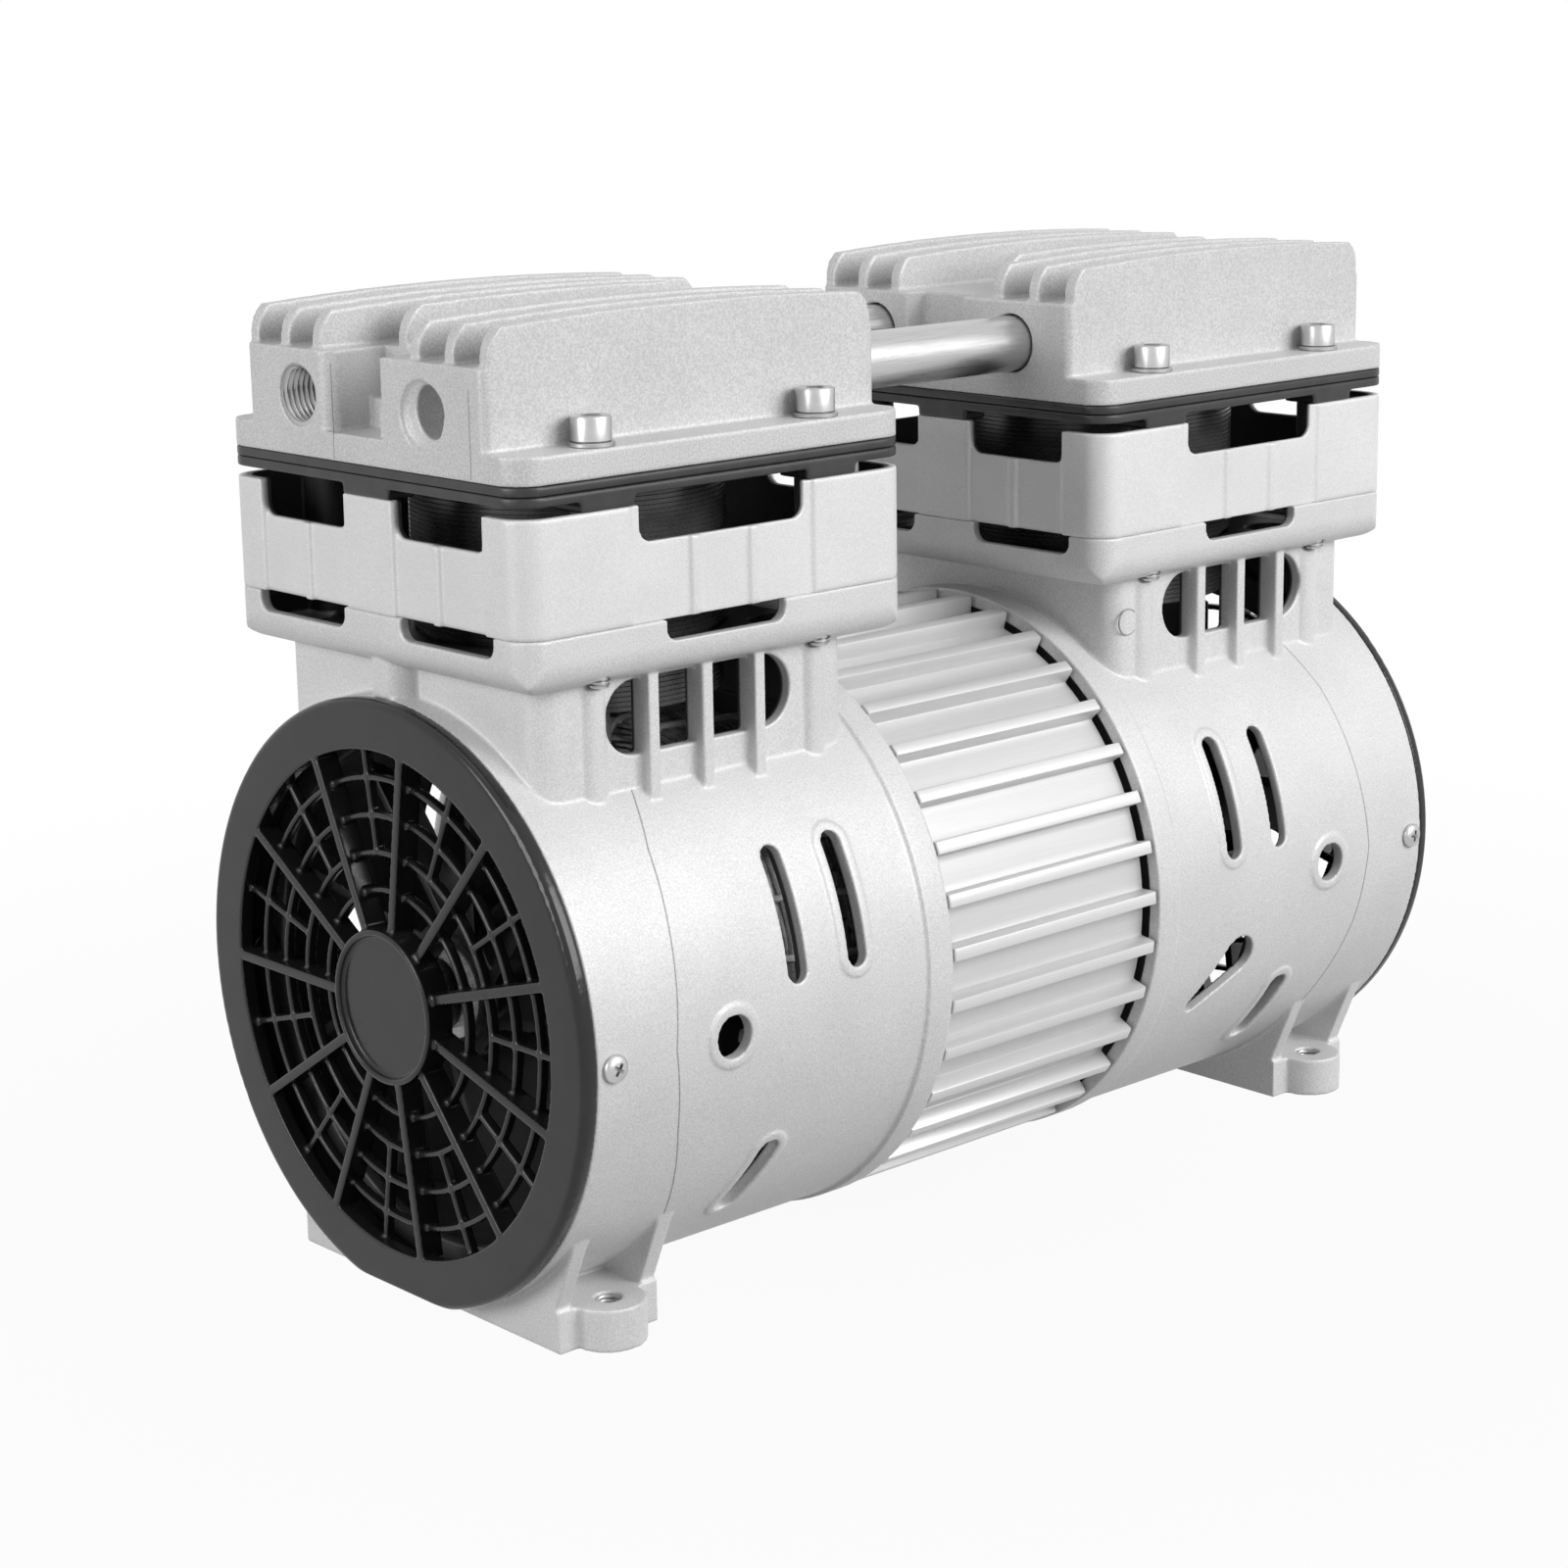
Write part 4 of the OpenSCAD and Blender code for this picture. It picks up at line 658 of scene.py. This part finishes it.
def extruded_aluminium():
    material, tree = new_material("extruded_aluminium")
    shader = tree.nodes["Principled BSDF"]
    shader.inputs["Metallic"].default_value = 0.3
    vector = grain_coordinates(tree, (0.02, 1, 1))
    lines = noise(tree, vector, 0.3 * MM, 3.0, 0.6)
    parts = tree.nodes.new("ShaderNodeSeparateXYZ")
    tree.links.new(grain_coordinates(tree), parts.inputs["Vector"])
    height = calculated(tree, "SUBTRACT", parts.outputs["Z"], AXIS_H)
    above_root = calculated(tree, "SUBTRACT", distance(tree, parts.outputs["Y"], height), SLEEVE_R)
    up_the_rib = calculated(tree, "DIVIDE", above_root, RIB_TIP_R - SLEEVE_R)
    # Painted shade: the colour darkens towards the rib roots, standing in for the shade in the valleys
    # between the ribs
    colour = multiply(tree, ramp(tree, lines, ((0.3, 0.71), (0.7, 0.76))),
                      ramp(tree, up_the_rib, ((0.0, 0.84), (0.95, 1.0))))
    tree.links.new(colour, shader.inputs["Base Color"])
    tree.links.new(ramp(tree, lines, ((0.3, 0.4), (0.7, 0.34))), shader.inputs["Roughness"])
    bump(tree, shader, lines, 0.08, 0.02 * MM)
    return material


def sleeve_section():
    """The ribs' outline in (Y, Z): round corners at the tips and small fillets at the roots."""
    outline = []
    pitch = 2 * math.pi / RIB_COUNT
    half = RIB_W / 2
    tip, root = 0.45 * MM, 0.5 * MM
    for k in range(RIB_COUNT):
        middle = -math.pi / 2 + k * pitch
        out = Vector((math.cos(middle), math.sin(middle)))
        side = Vector((-out.y, out.x))
        sink = math.sqrt(SLEEVE_R ** 2 - (half + root) ** 2)
        shape = [(-(half + root), sink), (-(half + 0.3 * root), sink + 0.3 * root), (-half, sink + root)]
        shape += [(-half, RIB_TIP_R - tip), (-half + 0.3 * tip, RIB_TIP_R - 0.3 * tip),
                  (-half + tip, RIB_TIP_R)]
        shape += [(-across, up) for across, up in reversed(shape)]
        outline += [out * up + side * across for across, up in shape]
        for j in range(1, 5):
            gap = (half + root) / SLEEVE_R
            angle = middle + gap + (pitch - 2 * gap) * j / 5
            outline.append(Vector((math.cos(angle), math.sin(angle))) * SLEEVE_R)
    return outline


def sleeve():
    outline = sleeve_section()
    count = len(outline)
    edge = 0.25 * MM
    rings = []
    rib_half = SLEEVE_HALF - RIB_END_GAP
    for x, shrink in ((-rib_half, edge), (edge - rib_half, 0), (rib_half - edge, 0), (rib_half, edge)):
        rings.append([Vector((x, p.x * (1 - shrink / p.length), AXIS_H + p.y * (1 - shrink / p.length)))
                      for p in outline])
    inner = [[Vector((x, SLEEVE_IN_R * p.x / p.length, AXIS_H + SLEEVE_IN_R * p.y / p.length))
              for p in outline] for x in (rib_half, -rib_half)]
    rows = rings + inner
    points = [p for row in rows for p in row]
    faces = []
    for i in range(len(rows)):
        j = (i + 1) % len(rows)
        for k in range(count):
            n = (k + 1) % count
            faces.append((i * count + k, i * count + n, j * count + n, j * count + k))
    return points, faces


placed("motor_sleeve_extrusion", mesh_of(sleeve()), extruded_aluminium(), "frame", "sleeve", "motor_sleeve")

# Foot threads
# The feet are tapped M6 right through, so that the machine can be held from below.
FOOT_THREAD_TOP = 9.1 * MM
foot_thread = tapped_thread(2.6 * MM, 3.0 * MM, 3.3 * MM, 1.0 * MM, 8.6 * MM, 32)
foot_threads = merged([moved(foot_thread, Matrix.Translation((sx * FOOT_X, sy * FOOT_Y, FOOT_THREAD_TOP)))
                       for sx in (-1, 1) for sy in (-1, 1)])
# The same darkened metal gives painted shade in the tapped feet
placed("foot_threads", mesh_of(foot_threads), thread_metal_painted_shade, "frame", "cast")

# Cylinders
# Each is a black anodised liner, turned with fine cooling rings all the way up.
LINER_LOW_R = 34.4 * MM
LINER_R = 35.8 * MM
LINER_FOOT_Z = 135.4 * MM
LINER_SEAT_Z = 151.1 * MM
VALVE_Z = 189.3 * MM
BORE_R = 31.85 * MM
RING_PITCH = 1.06 * MM
RING_DEPTH = 0.45 * MM


def anodised_black(name, grey, rough):
    material, tree = new_material(name)
    shader = tree.nodes["Principled BSDF"]
    shader.inputs["Metallic"].default_value = 0.3
    vector = grain_coordinates(tree)
    fine = noise(tree, vector, 0.3 * MM, 2.0)
    tree.links.new(ramp(tree, noise(tree, vector, 6 * MM, 3.0), ((0.3, grey * 0.8), (0.7, grey * 1.2))),
                   shader.inputs["Base Color"])
    tree.links.new(ramp(tree, fine, ((0.3, rough), (0.7, rough + 0.1))), shader.inputs["Roughness"])
    bump(tree, shader, fine, 0.15, 0.02 * MM)
    return material


def finned_liner():
    profile = [(BORE_R, LINER_FOOT_Z)]
    for r, low, high in ((LINER_LOW_R, LINER_FOOT_Z, LINER_SEAT_Z), (LINER_R, LINER_SEAT_Z, VALVE_Z)):
        rings = int((high - low) / RING_PITCH)
        step = (high - low) / rings
        for k in range(rings):
            z = low + k * step
            profile += [(r - RING_DEPTH, z + 0.05 * step), (r - RING_DEPTH, z + 0.35 * step),
                        (r, z + 0.45 * step), (r, z + 0.95 * step)]
    profile += [(LINER_R, VALVE_Z), (BORE_R, VALVE_Z)]
    return lathe(profile, 96, True)


liner_material = anodised_black("anodised_liner", 0.09, 0.24)
for end, side in (("front", -1), ("rear", 1)):
    liner = mesh_of(moved(finned_liner(), Matrix.Translation((side * CYL_X, 0, 0))))
    placed(end + "_cylinder_liner", liner, liner_material, "frame", "liner", end + "_cylinder")

# Baffles and valve plates
# Under each head lie two black plates: the valve plate, and below it a baffle whose pads stand on
# the shroud. Their edges are rounded, so a thin light line runs between them.
plate_material = anodised_black("black_plate", 0.036, 0.34)
for end in ("front", "rear"):
    for kind in ("baffle", "valve_plate"):
        plate = soft_edged(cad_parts[end + "_" + kind].data.copy(), 0.45 * MM, 2, 0.25)
        placed(end + "_" + kind + "_plate", plate, plate_material, "frame", "plate", end + "_" + kind)

# Head bolts and washers
# Eight M5 socket head screws of bright steel hold the heads down, each on a plain washer. Their
# threaded tips come out under the trays.
BOLT_X = 31.8 * MM
BOLT_Y = 48.3 * MM
WASHER_T = 1.0 * MM
WASHER_R = 5.0 * MM
BOLT_HEAD_R = 4.35 * MM
BOLT_HEAD_H = 5.4 * MM
BOLT_R = 2.5 * MM
BOLT_TIP_Z = 146.4 * MM
BOLT_THREAD_TOP = -41.0 * MM
SOCKET_R = 2.3 * MM
SOCKET_DEPTH = 2.6 * MM


def bright_steel(name, grey, rough):
    material, tree = new_material(name)
    shader = tree.nodes["Principled BSDF"]
    shader.inputs["Metallic"].default_value = 1.0
    vector = grain_coordinates(tree)
    fine = noise(tree, vector, 0.25 * MM, 2.0)
    tree.links.new(ramp(tree, noise(tree, vector, 4 * MM, 3.0), ((0.3, grey * 0.85), (0.7, grey))),
                   shader.inputs["Base Color"])
    tree.links.new(ramp(tree, fine, ((0.3, rough), (0.7, rough + 0.1))), shader.inputs["Roughness"])
    bump(tree, shader, fine, 0.1, 0.01 * MM)
    return material


def screw_thread(r, low, high, pitch, depth):
    profile = []
    turns = int((high - low) / pitch)
    for k in range(turns):
        z = low + k * (high - low) / turns
        profile += [(r - depth, z + 0.1 * pitch), (r, z + 0.5 * pitch), (r - depth, z + 0.9 * pitch)]
    return profile


def cap_screw():
    """A socket head screw with its washer's top at 0 and its head above."""
    chamfer = 0.45 * MM
    tip = BOLT_TIP_Z - BLOCK_Z - WASHER_T
    profile = [(NEAR_AXIS, tip), (BOLT_R - chamfer, tip)]
    profile += screw_thread(BOLT_R, tip + 0.3 * MM, BOLT_THREAD_TOP, 0.8 * MM, 0.35 * MM)
    profile += [(BOLT_R, BOLT_THREAD_TOP + 0.5 * MM), (BOLT_R, 0), (BOLT_HEAD_R - 0.3 * MM, 0),
                (BOLT_HEAD_R, 0.3 * MM), (BOLT_HEAD_R, BOLT_HEAD_H - 0.4 * MM),
                (BOLT_HEAD_R - 0.12 * MM, BOLT_HEAD_H - 0.12 * MM), (BOLT_HEAD_R - 0.4 * MM, BOLT_HEAD_H),
                (NEAR_AXIS, BOLT_HEAD_H)]
    body = mesh_of(lathe(profile, 48))
    hexagon = [(SOCKET_R * math.cos(math.pi / 3 * k), SOCKET_R * math.sin(math.pi / 3 * k)) for k in range(6)]
    points = [(x, y, z) for z in (BOLT_HEAD_H - SOCKET_DEPTH, BOLT_HEAD_H + MM) for x, y in hexagon]
    faces = [(5, 4, 3, 2, 1, 0), (6, 7, 8, 9, 10, 11)]
    faces += [(k, (k + 1) % 6, 6 + (k + 1) % 6, 6 + k) for k in range(6)]
    body = joined(body, [], [(points, faces)])
    body.set_sharp_from_angle(angle=math.radians(35))
    return body


def washer():
    edge = 0.2 * MM
    hole_r, lip_r = 2.6 * MM, 2.8 * MM
    return lathe(((hole_r, -WASHER_T + edge), (hole_r, -edge), (lip_r, 0), (WASHER_R - edge, 0),
                  (WASHER_R, -edge), (WASHER_R, edge - WASHER_T), (WASHER_R - edge, -WASHER_T),
                  (lip_r, -WASHER_T)), 40, True)


def copies(mesh, places):
    """One mesh out of copies of another at many places."""
    work = bmesh.new()
    for place in places:
        copy = mesh.copy()
        copy.transform(place)
        work.from_mesh(copy)
        bpy.data.meshes.remove(copy)
    result = mesh.copy()
    work.to_mesh(result)
    work.free()
    return result


# Each screw stopped at a turn of its own
bolt_places = [Matrix.Translation((sc * CYL_X + sx * BOLT_X, sy * BOLT_Y, BLOCK_Z + WASHER_T))
               @ Matrix.Rotation(0.7 * sx + 1.3 * sy, 4, "Z")
               for sc in (-1, 1) for sx in (-1, 1) for sy in (-1, 1)]
screw_steel = bright_steel("bright_screw_steel", 0.56, 0.3)
washer_steel = bright_steel("washer_steel", 0.45, 0.36)
placed("head_bolt_set", copies(cap_screw(), bolt_places), screw_steel, "frame", "steel", "head_bolts")
placed("head_washer_set", copies(mesh_of(washer()), bolt_places), washer_steel, "frame", "steel",
       "head_washers")

# Grille screws
# A small pan head screw with a cross recess holds each side of a grille through the shell.
GRILLE_SCREW_X = 135.3 * MM
PAN_R = 3.1 * MM
PAN_H = 1.8 * MM
PAN_SCREW_R = 1.45 * MM
PAN_SCREW_L = 9.0 * MM
RECESS_HALF_L = 1.75 * MM
RECESS_HALF_W = 0.42 * MM
RECESS_DEPTH = 1.5 * MM


def pan_screw():
    profile = [(NEAR_AXIS, -PAN_SCREW_L), (1.0 * MM, -PAN_SCREW_L)]
    profile += screw_thread(PAN_SCREW_R, -8.6 * MM, -1.6 * MM, 0.7 * MM, 0.25 * MM)
    profile += [(PAN_SCREW_R, -1.2 * MM), (PAN_SCREW_R, 0), (PAN_R - 0.2 * MM, 0), (PAN_R, 0.25 * MM),
                (PAN_R, 0.7 * MM), (PAN_R - 0.25 * MM, 1.15 * MM), (PAN_R - 0.8 * MM, 1.5 * MM),
                (PAN_R - 1.7 * MM, 1.72 * MM), (NEAR_AXIS, PAN_H)]
    body = mesh_of(lathe(profile, 40))
    wings = []
    corners = ((-1, 1), (1, 1), (1, -1), (-1, -1))
    for turn in (0, math.pi / 2):
        points = []
        for share_l, share_w, z in ((0.45, 0.6, PAN_H - RECESS_DEPTH), (1, 1, PAN_H + 0.4 * MM)):
            points += [(x * RECESS_HALF_L * share_l, y * RECESS_HALF_W * share_w, z) for x, y in corners]
        faces = [(0, 1, 2, 3), (7, 6, 5, 4)] + [(k, k + 4, (k + 1) % 4 + 4, (k + 1) % 4) for k in range(4)]
        wings.append(moved((points, faces), Matrix.Rotation(turn, 4, "Z")))
    body = joined(body, [], wings)
    body.set_sharp_from_angle(angle=math.radians(35))
    return body


grille_screw_places = [Matrix.Translation((sx * GRILLE_SCREW_X, sy * SHELL_R, AXIS_H))
                       @ Matrix.Rotation(-sy * math.pi / 2, 4, "X") @ Matrix.Rotation(0.4 + sx, 4, "Z")
                       for sx in (-1, 1) for sy in (-1, 1)]
placed("grille_screw_set", copies(pan_screw(), grille_screw_places), screw_steel, "frame", "steel",
       "grille_screws")

# Windings
# A thick ring of enamelled wire stands out of the stator at each end. Cord laces it every 15 degrees.
WIND_X0, WIND_X1 = 46 * MM, 73 * MM
WIND_IN, WIND_OUT = 38 * MM, 53.6 * MM
WIND_ROUND_R = 5 * MM
WIRE_R = 0.75 * MM
CORD_R = 0.8 * MM


def enamelled_wire():
    material, tree = new_material("enamelled_wire")
    shader = tree.nodes["Principled BSDF"]
    shader.inputs["Metallic"].default_value = 0.4
    vector = grain_coordinates(tree)
    tree.links.new(ramp(tree, noise(tree, vector, 2.5 * MM, 3.0), ((0.3, 0.3), (0.7, 0.55))),
                   shader.inputs["Base Color"])
    tree.links.new(ramp(tree, noise(tree, vector, 1.2 * MM), ((0.3, 0.25), (0.7, 0.4))),
                   shader.inputs["Roughness"])
    return material


def woven_cord(name, dark, light):
    material, tree = new_material(name)
    shader = tree.nodes["Principled BSDF"]
    shader.inputs["Roughness"].default_value = 0.8
    vector = grain_coordinates(tree)
    fine = noise(tree, vector, 0.5 * MM, 3.0)
    tree.links.new(ramp(tree, fine, ((0.3, dark), (0.7, light))), shader.inputs["Base Color"])
    bump(tree, shader, fine, 0.4, 0.1 * MM)
    return material


def winding_outline(inset):
    """Points round a winding's cross section as (place along the motor, radius)."""
    round_r = WIND_ROUND_R
    x0, x1 = WIND_X0 + inset, WIND_X1 - inset
    r0, r1 = WIND_IN + inset, WIND_OUT - inset
    path = []
    for cx, cr, start in ((x1 - round_r, r1 - round_r, 0), (x1 - round_r, r0 + round_r, 90)):
        for k in range(5):
            angle = math.radians(90 - start - 22.5 * k)
            path.append((cx + round_r * math.cos(angle), cr + round_r * math.sin(angle)))
    path += [(x1 - round_r - (x1 - round_r - x0) * k / 8, r0) for k in range(1, 9)]
    path += [(x0, r0 + (r1 - r0) * k / 6) for k in range(1, 6)]
    path += [(x0 + (x1 - round_r - x0) * k / 8, r1) for k in range(0, 8)]
    return path


def along_outline(path, step):
    """The same outline cut into even steps."""
    points = [Vector((x, r, 0)) for x, r in path]
    lengths = [(points[(i + 1) % len(points)] - p).length for i, p in enumerate(points)]
    count = int(sum(lengths) / step)
    even, i, done = [], 0, 0.0
    for k in range(count):
        target = sum(lengths) * k / count
        while done + lengths[i] < target:
            done += lengths[i]
            i += 1
        even.append(points[i].lerp(points[(i + 1) % len(points)], (target - done) / lengths[i]))
    return even


def wire_ring(x, r, phase):
    path = []
    for k in range(90):
        angle = 2 * math.pi * k / 90
        wave = math.sin(angle * 12 + phase) * 0.35 * MM + math.sin(angle * 5 + 2 * phase) * 0.25 * MM
        outward = Vector((0, math.sin(angle), math.cos(angle)))
        path.append((Vector((x + wave, 0, 0)) + outward * (r - abs(wave) * 0.6), outward))
    return swept_bead(path, WIRE_R, True, 6)


def lacing(angle):
    outward = Vector((0, math.sin(angle), math.cos(angle)))
    side = Vector((0, math.cos(angle), -math.sin(angle)))
    spots = along_outline(winding_outline(0.25 * MM), 3 * MM)
    middle_x, middle_r = (WIND_X0 + WIND_X1) / 2, (WIND_IN + WIND_OUT) / 2
    path = []
    for p in spots:
        lean = (p.x - WIND_X0) / (WIND_X1 - WIND_X0) * 3 * MM
        away = (Vector((p.x - middle_x, 0, 0)) + outward * (p.y - middle_r)).normalized()
        path.append((Vector((p.x, 0, 0)) + outward * p.y + side * lean, away))
    return swept_bead(path, CORD_R, True, 6)


wire_spots = along_outline(winding_outline(1.3 * MM), 1.5 * MM)
wire_rings = [wire_ring(p.x, p.y, 1.7 * i) for i, p in enumerate(wire_spots)]
core_spots = along_outline(winding_outline(1.6 * MM), 2 * MM)
core_ring = [moved(lathe([(p.y, p.x) for p in core_spots], 72, True), along_motor)]
lacings = [lacing(math.radians(15 * k + 4)) for k in range(24)]
wire_material = enamelled_wire()
lacing_material = woven_cord("lacing_cord", 0.7, 0.9)
lift = Matrix.Translation((0, 0, AXIS_H))
for end, side in (("front", -1), ("rear", 1)):
    face_out = lift @ Matrix.Scale(side, 4, (1, 0, 0))
    wires = mesh_of(moved(merged(wire_rings + core_ring), face_out))
    placed(end + "_winding_wires", wires, wire_material, "frame", "winding", end + "_winding")
    cords = mesh_of(moved(merged(lacings), face_out))
    placed(end + "_winding_lacing", cords, lacing_material, "frame", "winding")

# Stator core and rotor
# Both are stacks of thin steel sheets, and the rotor has cast aluminium end rings.
SHEET_T = 0.5 * MM
# The space between two bands of the wave texture at a scale of 1
BAND_SPACE = 0.314


def stacked_sheets():
    material, tree = new_material("stacked_steel_sheets")
    shader = tree.nodes["Principled BSDF"]
    shader.inputs["Metallic"].default_value = 0.8
    vector = grain_coordinates(tree)
    bands = tree.nodes.new("ShaderNodeTexWave")
    bands.bands_direction = "X"
    bands.inputs["Scale"].default_value = BAND_SPACE / SHEET_T
    bands.inputs["Distortion"].default_value = 0.2
    tree.links.new(vector, bands.inputs["Vector"])
    tree.links.new(ramp(tree, bands.outputs["Fac"], ((0.2, 0.1), (0.6, 0.26))), shader.inputs["Base Color"])
    tree.links.new(ramp(tree, noise(tree, vector, MM), ((0.3, 0.4), (0.7, 0.55))), shader.inputs["Roughness"])
    bump(tree, shader, bands.outputs["Fac"], 0.4, 0.1 * MM)
    return material


def dressed(node, material):
    """A solid whose shape is right keeps it and gets its finish."""
    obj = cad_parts[node]
    obj.data.materials.clear()
    obj.data.materials.append(material)


sheets = stacked_sheets()
dressed("stator_core", sheets)
dressed("rotor_core", sheets)

# Shaft, bearings, through bolts and clips
# The ground steel shaft runs in two sealed ball bearings. Four long bolts and nuts draw the housings
# together, and a clip keeps each fan on.
ground_steel = bright_steel("ground_steel", 0.62, 0.24)
for name in ("shaft", "front_shaft_bearing", "rear_shaft_bearing", "preload_washer", "tie_bolts", "tie_nuts",
             "fan_clips", "front_rod_bearing", "rear_rod_bearing", "eccentric_screws", "front_clamp_screw",
             "rear_clamp_screw", "intake_reeds", "discharge_reeds", "reed_stops", "reed_screws"):
    dressed(name, ground_steel)

# Crank parts
# Eccentrics of cast iron with their counterweights, and rods of cast aluminium with machined eyes.
iron = machined_aluminium("machined_iron", 0.32, 0.4)
for name in ("front_eccentric", "rear_eccentric"):
    dressed(name, iron)
rod_metal = machined_aluminium("machined_aluminium", 0.62, 0.34)
for end in ("front", "rear"):
    rod = soft_edged(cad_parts[end + "_rod"].data.copy(), 0.6 * MM, 3, 0.3)
    placed(end + "_rod_casting", rod, rod_metal, end + "_rod_set", "rod", end + "_rod")
    dressed(end + "_cup_clamp", rod_metal)

# Piston cups, seals and O-rings
# The cups are filled PTFE, dark and slightly waxy. The seals are black rubber.
cup_material = moulded_plastic("filled_ptfe_cup", 0.07, 0.4)
rubber = moulded_plastic("black_rubber", 0.03, 0.6)
for end in ("front", "rear"):
    dressed(end + "_piston_cup", cup_material)
for name in ("head_seals", "tube_o_rings"):
    dressed(name, rubber)

# Tubes
# Two polished steel tubes join the heads: intake air on one side, compressed air on the other.
# Drawing has left faint lines along them.


def drawn_tube():
    material, tree = new_material("drawn_steel_tube")
    shader = tree.nodes["Principled BSDF"]
    shader.inputs["Metallic"].default_value = 1.0
    vector = grain_coordinates(tree, (0.03, 1, 1))
    lines = noise(tree, vector, 0.3 * MM, 2.0)
    tree.links.new(ramp(tree, lines, ((0.3, 0.5), (0.7, 0.57))), shader.inputs["Base Color"])
    tree.links.new(ramp(tree, lines, ((0.3, 0.27), (0.7, 0.34))), shader.inputs["Roughness"])
    bump(tree, shader, lines, 0.08, 0.01 * MM)
    return material


tube_material = drawn_tube()
for name in ("intake_tube", "discharge_tube"):
    dressed(name, tube_material)

# Fans
# A black nylon fan with nine blades sits on each end of the shaft, behind its grille.
fan_material = moulded_plastic("black_nylon_fan", 0.02, 0.4)
for end in ("front", "rear"):
    fan = soft_edged(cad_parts[end + "_fan"].data.copy(), 0.6 * MM, 2, 0.4)
    placed(end + "_fan_moulding", fan, fan_material, "rotor", "fan", end + "_fan")
